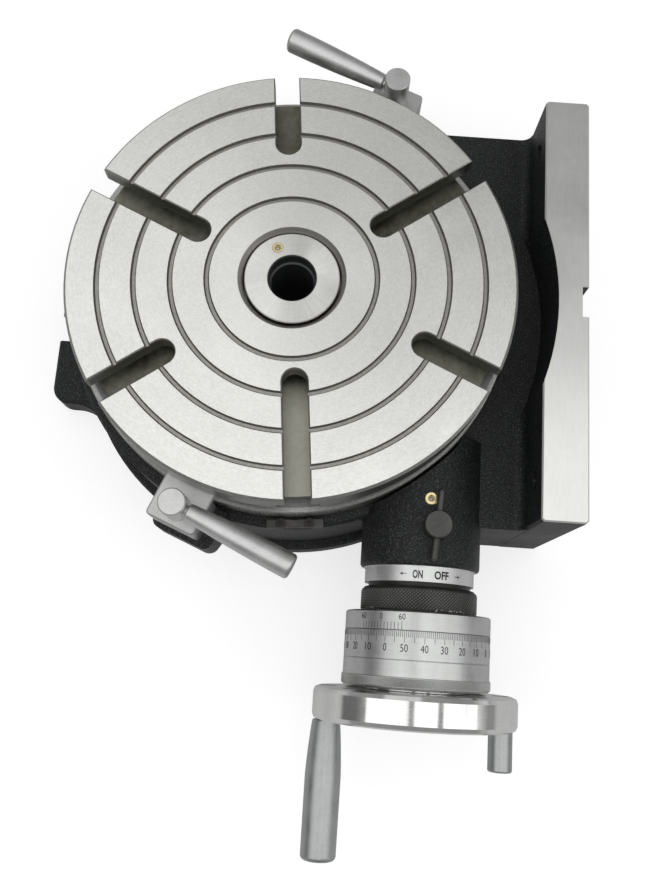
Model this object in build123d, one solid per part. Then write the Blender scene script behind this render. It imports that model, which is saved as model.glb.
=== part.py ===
from build123d import *
import os
from math import asin, cos, degrees, pi, radians, sin, sqrt, tan

# Horizontal and vertical rotary table, 250 mm class. Millimetres.
# The origin is on the table axis in the plane that the base stands on, +Z up.
# The worm and its handwheel lie along Y, the vertical seat faces +X.

# Table
table_diameter = 250.0
table_height = 126.5
rest_turn = 5.6
disc_thickness = 20.0
clamp_groove_height = 9.0
clamp_groove_depth = 6.2
flange_height = 18.0
flange_overhang = 1.5
face_chamfer = 1.5
groove_radii = (107.0, 87.0, 67.0, 47.0)
groove_width = 3.2
groove_depth = 1.6

# T-slots
slot_count = 6
slot_width = 14.0
slot_chamfer = 0.65
tee_width = 23.5
tee_height = 9.0
long_slot_end = 52.5
short_slot_end = 75.0

# Centre post and its bore
post_head_radius = 26.4
post_head_height = 13.5
post_head_gap = 1.0
post_face_drop = 1.0
post_neck_radius = 22.0
post_shank_radius = 19.0
post_bevel = 2.6
register_radius = 13.0
register_depth = 8.0
taper_mouth_radius = 11.9125
taper_per_side = 0.0251
taper_length = 62.0
drawbar_radius = 8.0
post_nut_radius = 30.0
post_nut_height = 9.0
spanner_slot = 6.0

# Clearances
film = 0.05
fit = 0.02
running = 0.04
swing_gap = 1.5

# Worm gear
module = 1.625
wheel_teeth = 90
pressure_angle = 20.0
worm_pitch_radius = 10.275
worm_turns = 7
flank_clearance = 0.12
wheel_face = 18.0
wheel_drop = 13.0
wheel_bore = 44.0
wheel_seat_radius = 66.0
wheel_screw_circle = 55.0
wheel_screw_count = 6
wheel_screw_radius = 3.0
wheel_screw_length = 24.0

# Base casting
casting_overhang = 6.0
foot_overhang = 5.2
foot_height = 18.0
casting_edge = 1.5
ledge_drop = 2.0
wheel_floor_gap = 9.5
way_width = 38.0
nut_recess_depth = 14.0
relief_depth = 3.0
ear_reach = 19.8
ear_width = 103.0
ear_corner = 11.0
ear_blend = 24.0
keyway_width = 18.0
keyway_depth = 3.8
bolt_slot_width = 18.0
bolt_slot_length = 24.0

# Vertical seat
centre_height = 166.0
seat_thickness = 25.4
seat_length = 249.6
seat_drop = 7.0
scallop_clearance = 24.0
seat_edge = 1.5
seat_hole_radius = 5.5
seat_hole_spacing = 200.0
seat_hole_height = 102.5
wall_fillet = 6.0

# Worm housing and eccentric sleeve
sleeve_radius = 24.0
sleeve_step = 112.0
tail_radius = 15.0
tail_rear = 62.0
tail_relief = 18.0
sleeve_wall = 10.4
eccentric_throw = 3.0
throw_angle = 64.0
throw_range = 90.0
boss_face = 150.0
boss_round = 2.5
chamber_clearance = 0.5
chamber_margin = 3.0
window_turn = -36.0
sleeve_groove_depth = 3.0

# Parts on the worm axis, distances from the boss face outwards
on_off_width = 8.4
on_off_radius = 31.3
collar_width = 2.3
collar_radius = 29.0
nose_radius = 27.0
knurl_width = 13.8
knurl_radius = 32.7
knurl_chamfer = 1.6
vernier_width = 10.2
dial_radius = 41.0
dial_width = 30.2
dial_knurl_width = 6.0
dial_knurl_height = 0.5
dial_wall = 4.0
dial_web = 9.0
ring_gap = 0.2
ring_screw_count = 3
ring_screw_radius = 1.5
ring_screw_circle = 27.3

# Worm shaft
rear_journal_radius = 8.0
shaft_radius = 10.0
shaft_relief = 0.6
front_bush_wall = 4.0
rear_bush_wall = 2.5
rear_bush_length = 16.0
front_bush_length = 26.0
thrust_collar_radius = 16.0
thrust_collar_width = 5.5
thrust_washer_width = 2.5
thrust_bore = 18.0
bearing_nut_width = 6.0
wheel_seat_shaft = 9.0
worm_run_out = 8.0

# Handwheel and handles
hub_radius = 22.0
hub_step_radius = 30.0
hub_step_width = 1.3
handwheel_radius = 56.8
rim_width = 18.0
rim_inner_radius = 39.0
rim_round = 3.0
web_thickness = 6.5
front_recess = 9.5
handle_circle = 48.5
handle_stud_radius = 5.0
handle_end_gap = 0.4
grip_length = 72.6
grip_root_radius = 7.8
grip_belly_radius = 9.9
grip_end_radius = 9.7
grip_belly_at = 30.0
grip_round = 2.5
spindle_radius = 4.5
spindle_head_radius = 6.2
spindle_head_height = 3.5
short_handle_radius = 6.75
short_handle_length = 22.4
key_width = 5.0
key_length = 16.0
retaining_washer_width = 3.0
wheel_bolt_radius = 3.0
wheel_bolt_head_radius = 5.0
wheel_bolt_head_height = 6.0
wheel_bolt_length = 16.0

# Table clamps
clamp_angle = -112.5
rear_clamp_angle = 67.9
clamp_offset = 13.8
clamp_width = 29.4
clamp_outer = 24.0
clamp_top_drop = 22.0
clamp_body_height = 24.0
toe_clearance = 0.3
clamp_corner = 2.5
hub_post_radius = 7.4
lever_height_drop = 11.0
lever_turn = -1.7
lever_length = 70.9
lever_root_radius = 4.8
lever_end_radius = 7.0
lever_spigot_radius = 3.0
stud_radius = 4.5
stud_depth = 18.0
pad_width = 37.0
pad_reach = 26.8
pad_shift = 3.5
pad_height = 42.0
pad_corner = 5.0

# Sleeve lock screw with its cross bar, and the oilers
lock_screw_x = 88.2
lock_screw_y = -128.2
lock_shank_radius = 4.0
lock_dog_radius = 3.0
lock_head_radius = 7.6
lock_head_height = 9.5
lock_head_gap = 0.8
lock_bar_radius = 2.0
lock_bar_length = 38.4
lock_bar_angle = 85.4
oiler_radius = 3.6
oiler_depth = 7.0
oiler_ball_radius = 1.5
body_oiler_y = -112.9
post_oiler_radius = 3.1
post_oiler_circle = 19.6
post_oiler_angle = 118.0

# Index plate
index_angle = -85.6
index_length = 32.0
index_width = 4.6
index_thickness = 3.0
index_peak = 3.4
index_screw_spacing = 16.0
index_screw_radius = 1.5
index_head_radius = 2.75
index_head_height = 3.0

# Levels and radii that follow
table_radius = table_diameter / 2
neck_radius = table_radius - clamp_groove_depth
flange_radius = table_radius + flange_overhang
disc_underside = table_height - disc_thickness
flange_top = disc_underside - clamp_groove_height
table_underside = flange_top - flange_height
ledge_height = table_underside - ledge_drop
drum_radius = flange_radius + casting_overhang
foot_radius = drum_radius + foot_overhang
ear_end = foot_radius + ear_reach
wheel_mid = table_underside - wheel_drop
wheel_top = wheel_mid + wheel_face / 2
wheel_bottom = wheel_mid - wheel_face / 2
wheel_pitch_radius = module * wheel_teeth / 2
wheel_tip_radius = wheel_pitch_radius + module
cavity_radius = wheel_tip_radius + 6.0
floor_height = wheel_bottom - wheel_floor_gap
hub_bottom = wheel_bottom + 3.0
worm_x = wheel_pitch_radius + worm_pitch_radius
worm_z = wheel_mid
housing_x = worm_x + eccentric_throw * cos(radians(throw_angle))
housing_z = worm_z - eccentric_throw * sin(radians(throw_angle))
worm_pitch = pi * module
worm_tip = worm_pitch_radius + module
worm_root = worm_pitch_radius - 1.2 * module
lead_angle = degrees(asin(module / (2 * worm_pitch_radius)))
seat_inner = centre_height - seat_thickness
seat_top = table_height - seat_drop
scallop_radius = table_radius + scallop_clearance
boss_radius = sleeve_radius + sleeve_wall
post_face = table_height - post_face_drop
post_shoulder = post_face - post_head_height
post_end = nut_recess_depth - post_nut_height
clamp_top = table_height - clamp_top_drop
clamp_bottom = clamp_top - clamp_body_height
clamp_radius = table_radius + clamp_offset
clamp_face = table_radius + clamp_outer
lever_z = table_height - lever_height_drop
lock_bar_z = housing_z + boss_radius + lock_head_gap + lock_head_height / 2

# Stations along the worm axis, all on the -Y side
on_off_front = -boss_face - on_off_width
collar_back = on_off_front - ring_gap
collar_front = collar_back - collar_width
knurl_front = collar_front - knurl_width
vernier_back = knurl_front - ring_gap
vernier_front = vernier_back - vernier_width
dial_back = vernier_front - ring_gap
dial_front = dial_back - dial_width
hub_step_back = dial_front - ring_gap
wheel_back = hub_step_back - hub_step_width
wheel_front = wheel_back - rim_width
hub_front = wheel_front + front_recess
thrust_shoulder = collar_front + 1.0
thrust_collar_back = thrust_shoulder - thrust_washer_width
thrust_collar_front = thrust_collar_back - thrust_collar_width
bearing_nut_back = thrust_collar_front - thrust_washer_width
hub_back = dial_front + dial_web + 3.0
shaft_front = hub_front + 1.0
thread_half = worm_turns * worm_pitch / 2
chamber_half = sqrt(wheel_tip_radius ** 2 - (housing_x - tail_radius) ** 2) + chamber_margin

BOTTOM = (Align.CENTER, Align.CENTER, Align.MIN)


def cylinder(radius, low, high, x=0.0, y=0.0):
    """Upright cylinder between two heights."""
    return Pos(x, y, low) * Cylinder(radius, high - low, align=BOTTOM)


def tube(outer, inner, low, high, x=0.0, y=0.0):
    return cylinder(outer, low, high, x, y) - cylinder(inner, low, high, x, y)


def rod(radius, front, back, x=worm_x, z=worm_z):
    """Cylinder along Y from front (more negative) to back, on the worm axis unless told otherwise."""
    return Pos(x, front, z) * Rot(-90, 0, 0) * Cylinder(radius, back - front, align=BOTTOM)


def collar(outer, inner, front, back, x=worm_x, z=worm_z):
    return rod(outer, front, back, x, z) - rod(inner, front, back, x, z)


def block(x0, x1, y0, y1, z0, z1):
    return Pos((x0 + x1) / 2, (y0 + y1) / 2, (z0 + z1) / 2) * Box(x1 - x0, y1 - y0, z1 - z0)


def turned_upright(points):
    """Solid of revolution about Z from (radius, height) points."""
    return revolve(Plane.XZ * make_face(Polyline(*points, close=True)), Axis.Z)


def turned_along_y(points, x=worm_x, z=worm_z):
    """Solid of revolution about an axis along Y from (radius, y) points."""
    return Pos(x, 0, z) * revolve(make_face(Polyline(*points, close=True)), Axis.Y)


def around(angle, radius=0.0, z=0.0):
    """Placement on a circle about the table axis, local X pointing outwards."""
    return Rot(0, 0, angle) * Pos(radius, 0, z)


def stadium(inner_end, outer_end, width):
    """Radial slot outline with a round inner end, open at the outer end."""
    centre = inner_end + width / 2
    straight = Pos((centre + outer_end) / 2, 0) * Rectangle(outer_end - centre, width)
    return straight + Pos(centre, 0) * Circle(width / 2)


def t_slot(inner_end):
    """Cutter for one T-slot along +X: chamfered mouth, throat and wide foot."""
    beyond = flange_radius + 10
    throat = extrude(Pos(0, 0, disc_underside) * stadium(inner_end, beyond, slot_width), disc_thickness + 1)
    foot_end = inner_end - (tee_width - slot_width) / 2
    foot = extrude(Pos(0, 0, disc_underside) * stadium(foot_end, beyond, tee_width), tee_height)
    mouth_outline = stadium(inner_end - slot_chamfer, beyond, slot_width + 2 * slot_chamfer)
    mouth = extrude(Pos(0, 0, table_height) * mouth_outline, -slot_chamfer, taper=45)
    return throat + foot + mouth


def table_disc():
    """Ground table with clamp groove, degree flange, hub and seat for the worm wheel."""
    counterbore = post_head_radius + post_head_gap
    face = []
    for radius in sorted(groove_radii, reverse=True):
        half, floor = groove_width / 2, groove_width / 4
        face += [(radius + half, table_height), (radius + floor, table_height - groove_depth),
                 (radius - floor, table_height - groove_depth), (radius - half, table_height)]
    bore = post_neck_radius + running
    outline = [
        (bore, hub_bottom), (wheel_bore, hub_bottom), (wheel_bore, wheel_top),
        (wheel_seat_radius, wheel_top), (wheel_seat_radius, table_underside),
        (flange_radius - 1, table_underside), (flange_radius, table_underside + 1),
        (flange_radius, flange_top - 0.6), (flange_radius - 0.6, flange_top),
        (neck_radius, flange_top), (neck_radius, disc_underside),
        (table_radius - 0.6, disc_underside), (table_radius, disc_underside + 0.6),
        (table_radius, table_height - face_chamfer), (table_radius - face_chamfer, table_height),
        *face,
        (counterbore + post_bevel, table_height), (counterbore, table_height - post_bevel),
        (counterbore, post_shoulder - film), (bore, post_shoulder - film)]
    body = turned_upright(outline)
    cutters = []
    for index in range(slot_count):
        inner_end = short_slot_end if index % 2 == 0 else long_slot_end
        cutters.append(Rot(0, 0, 90 + rest_turn + index * 360 / slot_count) * t_slot(inner_end))
    for index in range(wheel_screw_count):
        place = around(index * 360 / wheel_screw_count + rest_turn, wheel_screw_circle)
        cutters.append(place * cylinder(wheel_screw_radius + fit, wheel_top - 1, wheel_bottom + 1 + wheel_screw_length))
    return body - cutters


def worm_wheel():
    """Bronze ring with teeth set at the worm's lead angle, bored over the table hub."""
    ring = tube(wheel_tip_radius, wheel_bore + fit, wheel_bottom, wheel_top - fit)
    flank = pressure_angle + 90 / wheel_teeth
    half_pitch_gap = worm_pitch / 4
    low = -1.25 * module
    high = module + 1
    slope = tan(radians(flank))
    gap_profile = make_face(Polyline(
        (wheel_pitch_radius + low, -half_pitch_gap - low * slope),
        (wheel_pitch_radius + high, -half_pitch_gap - high * slope),
        (wheel_pitch_radius + high, half_pitch_gap + high * slope),
        (wheel_pitch_radius + low, half_pitch_gap + low * slope), close=True))
    reach = wheel_face
    gap = extrude(Pos(0, 0, -reach) * gap_profile, 2 * reach)
    gap = Pos(0, 0, wheel_mid) * Rot(-lead_angle, 0, 0) * gap
    cutters = [Rot(0, 0, index * 360 / wheel_teeth) * gap for index in range(wheel_teeth)]
    for index in range(wheel_screw_count):
        place = around(index * 360 / wheel_screw_count + rest_turn, wheel_screw_circle)
        cutters.append(place * cylinder(wheel_screw_radius + 0.2, wheel_bottom - 1, wheel_top + 1))
        cutters.append(place * cylinder(wheel_screw_radius + 2.2, wheel_bottom - 1, wheel_bottom + 6.2))
    return ring - cutters


def wheel_screws():
    """Socket screws that hold the worm wheel up against the table."""
    screws = []
    for index in range(wheel_screw_count):
        head = cylinder(wheel_screw_radius + 2, wheel_bottom + 0.3, wheel_bottom + 6.15)
        head -= cylinder(wheel_screw_radius - 0.5, wheel_bottom, wheel_bottom + 3)
        shank = cylinder(wheel_screw_radius, wheel_bottom + 6, wheel_bottom + wheel_screw_length)
        screws.append(around(index * 360 / wheel_screw_count + rest_turn, wheel_screw_circle) * (head + shank))
    return screws


def base_body():
    """Cast base: drum, foot with hold-down ear, gear box, vertical seat, worm boss and clamp pads."""
    drum = turned_upright([
        (0, 0), (drum_radius, 0), (drum_radius, ledge_height - casting_edge),
        (drum_radius - casting_edge, ledge_height), (0, ledge_height)])

    ear = Pos(-ear_end / 2, 0) * Rectangle(ear_end, ear_width)
    ear = fillet(ear.vertices().filter_by(lambda v: v.X < -ear_end + 1), ear_corner)
    footprint = Circle(foot_radius) + ear
    roots = footprint.vertices().filter_by(lambda v: -ear_end + ear_corner + 2 < v.X < -20 and abs(v.Y) > 20)
    footprint = fillet(roots, ear_blend)
    foot = extrude(footprint, foot_height)
    foot = chamfer(foot.faces().sort_by(Axis.Z)[-1].edges(), casting_edge)
    body = drum + foot

    half = seat_length / 2
    body += block(worm_x - 30, seat_inner + 1, -half + 0.2, half - 0.2, 0, ledge_height)
    seat = block(seat_inner, centre_height, -half, half, 0, seat_top)
    seat = chamfer(seat.edges().filter_by(Axis.Z), seat_edge)
    seat = chamfer(seat.faces().sort_by(Axis.Z)[-1].edges(), 0.8)
    seat -= cylinder(scallop_radius, ledge_height, seat_top + 1)
    foot = (seat_inner - wall_fillet, ledge_height)
    root = (seat_inner, ledge_height + wall_fillet)
    corner = make_face([
        JernArc(root, (0, -1), wall_fillet, -90),
        Line(foot, (foot[0], ledge_height - 1)),
        Line((foot[0], ledge_height - 1), (seat_inner + 1, ledge_height - 1)),
        Line((seat_inner + 1, ledge_height - 1), (seat_inner + 1, root[1])),
        Line((seat_inner + 1, root[1]), root)])
    wall_root = extrude(Pos(0, half - 0.2, 0) * (Plane.XZ * corner), 2 * half - 0.4)
    wall_root -= cylinder(scallop_radius, ledge_height, seat_top)
    body = body + seat + wall_root

    boss = rod(boss_radius, -boss_face, -boss_face / 2, worm_x, housing_z)
    boss = fillet(boss.edges().sort_by(Axis.Y)[0], boss_round)
    for angle in (clamp_angle, rear_clamp_angle):
        body += around(angle) * clamp_pad()
    body = body + (boss - cylinder(flange_radius + swing_gap, ledge_height, table_height))
    way_outer = table_radius - 1
    body += tube(way_outer, way_outer - way_width, ledge_height - 1, table_underside - film)

    # Inside: gear chamber with a boss that carries the table hub and the post
    gear_room = cylinder(cavity_radius, floor_height, table_height)
    gear_room -= cylinder(wheel_bore - 4, floor_height - 1, hub_bottom - film)
    body -= gear_room
    cutters = [
        cylinder(post_shank_radius + fit, -1, table_height),
        cylinder(post_nut_radius + 3, -1, nut_recess_depth),
        tube(foot_radius - 26, post_nut_radius + 14, -1, relief_depth),
        rod(sleeve_radius + running, -boss_face - 1, -sleeve_step + 0.5, housing_x, housing_z),
        rod(tail_radius + running, -boss_face - 1, tail_rear + 0.5, housing_x, housing_z),
        block(housing_x - tail_relief / 2, housing_x + tail_relief / 2, -flange_radius, tail_rear + 0.5,
              ledge_height, table_underside),
        block(-ear_end - 5, centre_height + 5, -keyway_width / 2, keyway_width / 2, -1, keyway_depth),
        block(centre_height - keyway_depth, centre_height + 5, -keyway_width / 2, keyway_width / 2,
              -1, seat_top + 1),
        Rot(0, 0, 180) * extrude(
            Pos(0, 0, -1) * stadium(ear_end - bolt_slot_length, ear_end + 5, bolt_slot_width), foot_height + 2)]
    for side in (-1, 1):
        hole = Pos(seat_inner - 10, side * seat_hole_spacing / 2, seat_hole_height) * Rot(0, 90, 0)
        cutters.append(hole * Cylinder(seat_hole_radius, seat_thickness + 30, align=BOTTOM))
    for angle in (clamp_angle, rear_clamp_angle):
        cutters.append(around(angle, clamp_radius) * cylinder(
            stud_radius + fit, clamp_bottom - stud_depth - 1, clamp_bottom + 1))
    for turn in range(ring_screw_count):
        cutters.append(ring_screw_place(turn) * Pos(0, -boss_face - 1, 0) * Rot(-90, 0, 0)
                       * Cylinder(ring_screw_radius + fit, 12, align=BOTTOM))
    for offset in (-index_screw_spacing / 2, index_screw_spacing / 2):
        cutters.append(index_place() * cylinder(index_screw_radius + fit, ledge_height - 8, ledge_height + 1, 0, offset))
    cutters.append(cylinder(lock_shank_radius + running, housing_z, table_height, lock_screw_x, lock_screw_y))
    crest = housing_z + boss_radius
    cutters.append(cylinder(oiler_radius + fit, crest - oiler_depth, table_height, housing_x, body_oiler_y))
    return body - cutters


def clamp_pad():
    """Raised lug on the drum that carries one clamp strap, drawn along +X."""
    outer = table_radius + pad_reach
    side = make_face(Polyline(
        (drum_radius - 12, clamp_bottom - pad_height), (outer - 16, clamp_bottom - pad_height),
        (outer, clamp_bottom - pad_height + 18), (outer, clamp_bottom),
        (flange_radius + swing_gap, clamp_bottom), (drum_radius - 12, ledge_height - 1), close=True))
    pad = extrude(Pos(0, pad_shift + pad_width / 2, 0) * (Plane.XZ * side), pad_width)
    corners = pad.edges().filter_by(Axis.Z).group_by(Axis.X)[-1]
    return fillet(corners, pad_corner) - cylinder(flange_radius + swing_gap, ledge_height, table_height)


def ring_screw_place(turn):
    """Axis of one screw of the ON and OFF ring, about the housing axis."""
    angle = radians(60 + turn * 360 / ring_screw_count)
    return Pos(housing_x + ring_screw_circle * cos(angle), 0, housing_z + ring_screw_circle * sin(angle))


def index_place():
    return around(index_angle, flange_radius + 1 + index_width / 2)


def centre_post():
    """Fixed post that the table turns round, bored for a register and a Morse No. 3 taper."""
    taper_end = taper_mouth_radius - taper_per_side * taper_length
    register_floor = post_face - register_depth
    outline = [
        (drawbar_radius, post_end), (post_shank_radius, post_end), (post_shank_radius, hub_bottom - film),
        (post_neck_radius, hub_bottom - film), (post_neck_radius, post_shoulder),
        (post_head_radius, post_shoulder), (post_head_radius, post_face - 0.5),
        (post_head_radius - 0.5, post_face), (register_radius + 0.8, post_face),
        (register_radius, post_face - 0.8), (register_radius, register_floor),
        (taper_mouth_radius, register_floor - 0.6), (taper_end, register_floor - taper_length),
        (drawbar_radius, register_floor - taper_length)]
    post = turned_upright(outline)
    oiler_hole = cylinder(post_oiler_radius + fit, post_face - oiler_depth, table_height, post_oiler_circle)
    return post - Rot(0, 0, post_oiler_angle) * oiler_hole


def post_nut():
    """Round slotted nut under the base that draws the post down."""
    nut = tube(post_nut_radius, post_shank_radius + fit,
               nut_recess_depth - fit - post_nut_height, nut_recess_depth - fit)
    slots = [Rot(0, 0, 45 + quarter * 90) * block(post_nut_radius - 4, post_nut_radius + 2,
                                                  -spanner_slot / 2, spanner_slot / 2, 0, nut_recess_depth)
             for quarter in range(4)]
    return nut - slots


def oiler(radius, top):
    """Brass ball oiler cup, mouth up, centred on Z."""
    lip = oiler_ball_radius * 0.8
    return turned_upright([
        (0, top - oiler_depth + fit), (radius, top - oiler_depth + fit), (radius, top - 0.3), (radius - 0.3, top),
        (lip + 0.7, top), (lip, top - 0.7), (oiler_ball_radius + 0.1, top - 1.3),
        (oiler_ball_radius + 0.1, top - oiler_depth + 1.5), (0, top - oiler_depth + 1.5)])


def oiler_ball(top):
    """Steel ball that closes the oiler from inside its lip."""
    reach = sqrt((oiler_ball_radius + 0.03) ** 2 - (oiler_ball_radius * 0.8) ** 2)
    return Pos(0, 0, top - 0.7 - reach) * Sphere(oiler_ball_radius)


def index_plate():
    """Strip with a zero peak beside the degree flange."""
    half, width = index_length / 2, index_width / 2
    outline = make_face(Polyline(
        (-width, -half), (width, -half), (width, half), (-width, half),
        (-width, 2.6), (0.4 - width, 0), (-width, -2.6), close=True))
    strip = extrude(Pos(0, 0, ledge_height) * outline, index_thickness)
    peak = extrude(Pos(0, 0, ledge_height + index_thickness) * make_face(Polyline(
        (-width + 0.4, 0), (width - 0.6, -index_peak), (width - 0.6, index_peak), close=True)), 1.2)
    strip += peak
    holes = [cylinder(index_screw_radius + 0.2, ledge_height - 1, table_height, 0, offset)
             for offset in (-index_screw_spacing / 2, index_screw_spacing / 2)]
    return index_place() * (strip - holes)


def index_screws():
    screws = []
    seat = ledge_height + index_thickness
    for offset in (-index_screw_spacing / 2, index_screw_spacing / 2):
        head = cylinder(index_head_radius, seat, seat + index_head_height, 0, offset)
        head -= Pos(0, offset, seat + 1.4) * extrude(RegularPolygon(1.25, 6), index_head_height)
        shank = cylinder(index_screw_radius, ledge_height - 7, seat + 0.1, 0, offset)
        screws.append(index_place() * (head + shank))
    return screws


def clamp_strap(angle):
    """Clamp strap: heel on the casting pad, toe in the clamp groove over the flange."""
    inner = neck_radius + 1
    half = clamp_width / 2
    strap = block(inner - 6, clamp_face, -half, half, clamp_bottom, clamp_top)
    strap = fillet(strap.edges().filter_by(Axis.Z).group_by(Axis.X)[-1], clamp_corner)
    strap = chamfer(strap.faces().sort_by(Axis.Z)[-1].edges().group_by(Axis.X)[-1], 0.8)
    strap -= cylinder(inner, clamp_bottom - 1, table_height)
    strap -= cylinder(flange_radius + swing_gap, clamp_bottom - 1, flange_top + toe_clearance)
    strap -= cylinder(table_radius + swing_gap, disc_underside - toe_clearance, table_height)
    strap -= cylinder(stud_radius + 0.5, clamp_bottom - 1, table_height, clamp_radius)
    return Rot(0, 0, angle) * strap


def clamp_stud(angle):
    return around(angle, clamp_radius) * cylinder(stud_radius, clamp_bottom - stud_depth, table_height - 7.5)


def clamp_hub(angle):
    """Round nut of the clamp lever, bored over the stud and cross-drilled for the lever."""
    hub = cylinder(hub_post_radius, clamp_top + film, table_height - 1)
    hub = chamfer(hub.edges().sort_by(Axis.Z)[-1], 0.6)
    hub -= cylinder(stud_radius + running, clamp_top - 1, table_height - 7)
    spigot = Pos(stud_radius + 1, 0, lever_z) * Rot(0, 90, 0) * Cylinder(
        lever_spigot_radius + fit, hub_post_radius, align=BOTTOM)
    return around(angle, clamp_radius) * (hub - Rot(0, 0, 90 + lever_turn) * spigot)


def clamp_lever(angle):
    """Tapered lever that stands in the hub, nearly along the tangent."""
    root = hub_post_radius + 0.8
    start = stud_radius + 1.2
    belly = lever_root_radius + 0.75 * (lever_end_radius - lever_root_radius)
    profile = make_face([
        Line((start, 0), (start, lever_spigot_radius)),
        Line((start, lever_spigot_radius), (root, lever_spigot_radius)),
        Line((root, lever_spigot_radius), (root, lever_root_radius - 0.6)),
        Line((root, lever_root_radius - 0.6), (root + 0.6, lever_root_radius)),
        ThreePointArc((root + 0.6, lever_root_radius), (lever_length * 0.55, belly),
                      (lever_length - 2, lever_end_radius)),
        ThreePointArc((lever_length - 2, lever_end_radius), (lever_length - 0.6, lever_end_radius - 0.6),
                      (lever_length, lever_end_radius - 2.2)),
        Line((lever_length, lever_end_radius - 2.2), (lever_length, 0)),
        Line((lever_length, 0), (start, 0))])
    lever = Pos(0, 0, lever_z) * revolve(profile, Axis.X)
    return around(angle, clamp_radius) * Rot(0, 0, 90 + lever_turn) * lever


def worm_shaft():
    """Worm with its journals, thrust collar and handwheel seat in one piece."""
    core = turned_along_y([
        (0, tail_rear - 2), (rear_journal_radius, tail_rear - 2),
        (rear_journal_radius, thread_half + worm_run_out), (worm_root, thread_half + worm_run_out - 2),
        (worm_root, -thread_half - worm_run_out + 2), (shaft_radius, -thread_half - worm_run_out),
        (shaft_radius, thrust_collar_back), (thrust_collar_radius, thrust_collar_back),
        (thrust_collar_radius, thrust_collar_front), (shaft_radius, thrust_collar_front),
        (shaft_radius, hub_back + 1), (wheel_seat_shaft, hub_back + 1),
        (wheel_seat_shaft, shaft_front), (0, shaft_front)])
    root_half = worm_pitch / 4 + 1.2 * module * tan(radians(pressure_angle))
    tip_half = worm_pitch / 4 - module * tan(radians(pressure_angle))
    slack = flank_clearance / cos(radians(pressure_angle))
    sink = 0.3
    profile = Plane.XZ * make_face(Polyline(
        (worm_root - sink, -root_half + slack), (worm_tip, -tip_half + slack),
        (worm_tip, tip_half - slack), (worm_root - sink, root_half - slack), close=True))
    path = Helix(worm_pitch, worm_turns * worm_pitch, worm_root)
    thread = sweep(profile, path=path, is_frenet=True)
    thread = Pos(worm_x, 0, worm_z) * Rot(-90, 0, 0) * Rot(0, 0, 180 * (1 - worm_turns)) * (
        Pos(0, 0, -thread_half) * thread)
    keyway = block(worm_x - key_width / 2 - fit, worm_x + key_width / 2 + fit,
                   hub_front + 2, hub_front + 2 + key_length, worm_z + wheel_seat_shaft - 3, worm_z + 20)
    tapped = rod(wheel_bolt_radius + fit, shaft_front - 1, shaft_front + wheel_bolt_length)
    return core + thread - keyway - tapped


def eccentric_sleeve():
    """Sleeve that carries the worm off its own axis, so that turning it drops the worm out of mesh."""
    sleeve = rod(sleeve_radius, collar_back, -sleeve_step, housing_x, housing_z)
    sleeve += rod(tail_radius, -sleeve_step - 1, tail_rear, housing_x, housing_z)
    sleeve += rod(collar_radius, collar_front, collar_back)
    sleeve += rod(nose_radius, vernier_front + 1, collar_front)
    rear_seat = rear_journal_radius + rear_bush_wall + fit
    front_seat = shaft_radius + front_bush_wall + fit
    cutters = [
        rod(worm_tip + chamber_clearance, -chamber_half, chamber_half),
        rod(rear_seat, tail_rear - rear_bush_length, tail_rear + 1),
        rod(rear_journal_radius + shaft_relief, chamber_half - 1, tail_rear),
        rod(shaft_radius + shaft_relief, thrust_shoulder, -chamber_half + 1),
        rod(front_seat, thrust_shoulder - 1, thrust_shoulder + front_bush_length),
        rod(thrust_bore + fit, vernier_front, thrust_shoulder)]
    window = rod(tail_radius + 2, -chamber_half, chamber_half, housing_x, housing_z)
    keep = Pos(housing_x, 0, housing_z) * Rot(0, window_turn, 0) * block(
        0, 2 * tail_radius, -chamber_half - 1, chamber_half + 1, -2 * tail_radius, 2 * tail_radius)
    cutters.append(window - keep)
    groove = collar(sleeve_radius + 2, sleeve_radius - sleeve_groove_depth,
                    lock_screw_y - lock_dog_radius - 0.15, lock_screw_y + lock_dog_radius + 0.15,
                    housing_x, housing_z)
    dog_lead = degrees(asin((lock_screw_x - housing_x + lock_dog_radius) / (sleeve_radius - sleeve_groove_depth))) + 3
    dog_trail = degrees(asin((lock_screw_x - housing_x - lock_dog_radius) / sleeve_radius)) - throw_range - 3
    sector = Pos(housing_x, lock_screw_y - 5, housing_z) * Rot(-90, 0, 0) * Rot(0, 0, dog_trail - 90) * (
        Cylinder(sleeve_radius + 3, 10, arc_size=dog_lead - dog_trail, align=(Align.NONE, Align.NONE, Align.MIN)))
    cutters.append(groove & sector)
    return sleeve - cutters


def bush(journal, wall, front, back):
    return collar(journal + wall, journal + running, front, back)


def thrust_washers():
    wide = thrust_bore - fit
    rear = collar(wide, shaft_radius + running, thrust_collar_back + running, thrust_shoulder - fit)
    front = collar(wide, shaft_radius + running, bearing_nut_back + fit, thrust_collar_front - running)
    return [rear, front]


def bearing_nut():
    """Ring nut in the sleeve nose that takes up the end play of the worm."""
    nut = collar(thrust_bore - fit, shaft_radius + 0.3, bearing_nut_back - bearing_nut_width, bearing_nut_back)
    holes = [Pos(worm_x, 0, worm_z) * Rot(0, 45 + quarter * 90, 0) * rod(
        1.2, bearing_nut_back - bearing_nut_width - 1, bearing_nut_back - 3, (thrust_bore + shaft_radius) / 2, 0)
        for quarter in range(4)]
    return nut - holes


def on_off_ring():
    ring = rod(on_off_radius, on_off_front, -boss_face, worm_x, housing_z)
    ring -= rod(sleeve_radius + 0.3, on_off_front - 1, 1 - boss_face, housing_x, housing_z)
    for turn in range(ring_screw_count):
        place = ring_screw_place(turn) * Pos(0, on_off_front - 1, 0) * Rot(-90, 0, 0)
        ring -= place * Cylinder(ring_screw_radius + 0.2, on_off_width + 2, align=BOTTOM)
        ring -= place * Cylinder(ring_screw_radius + 1.3, 4.2, align=BOTTOM)
    return ring


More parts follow.
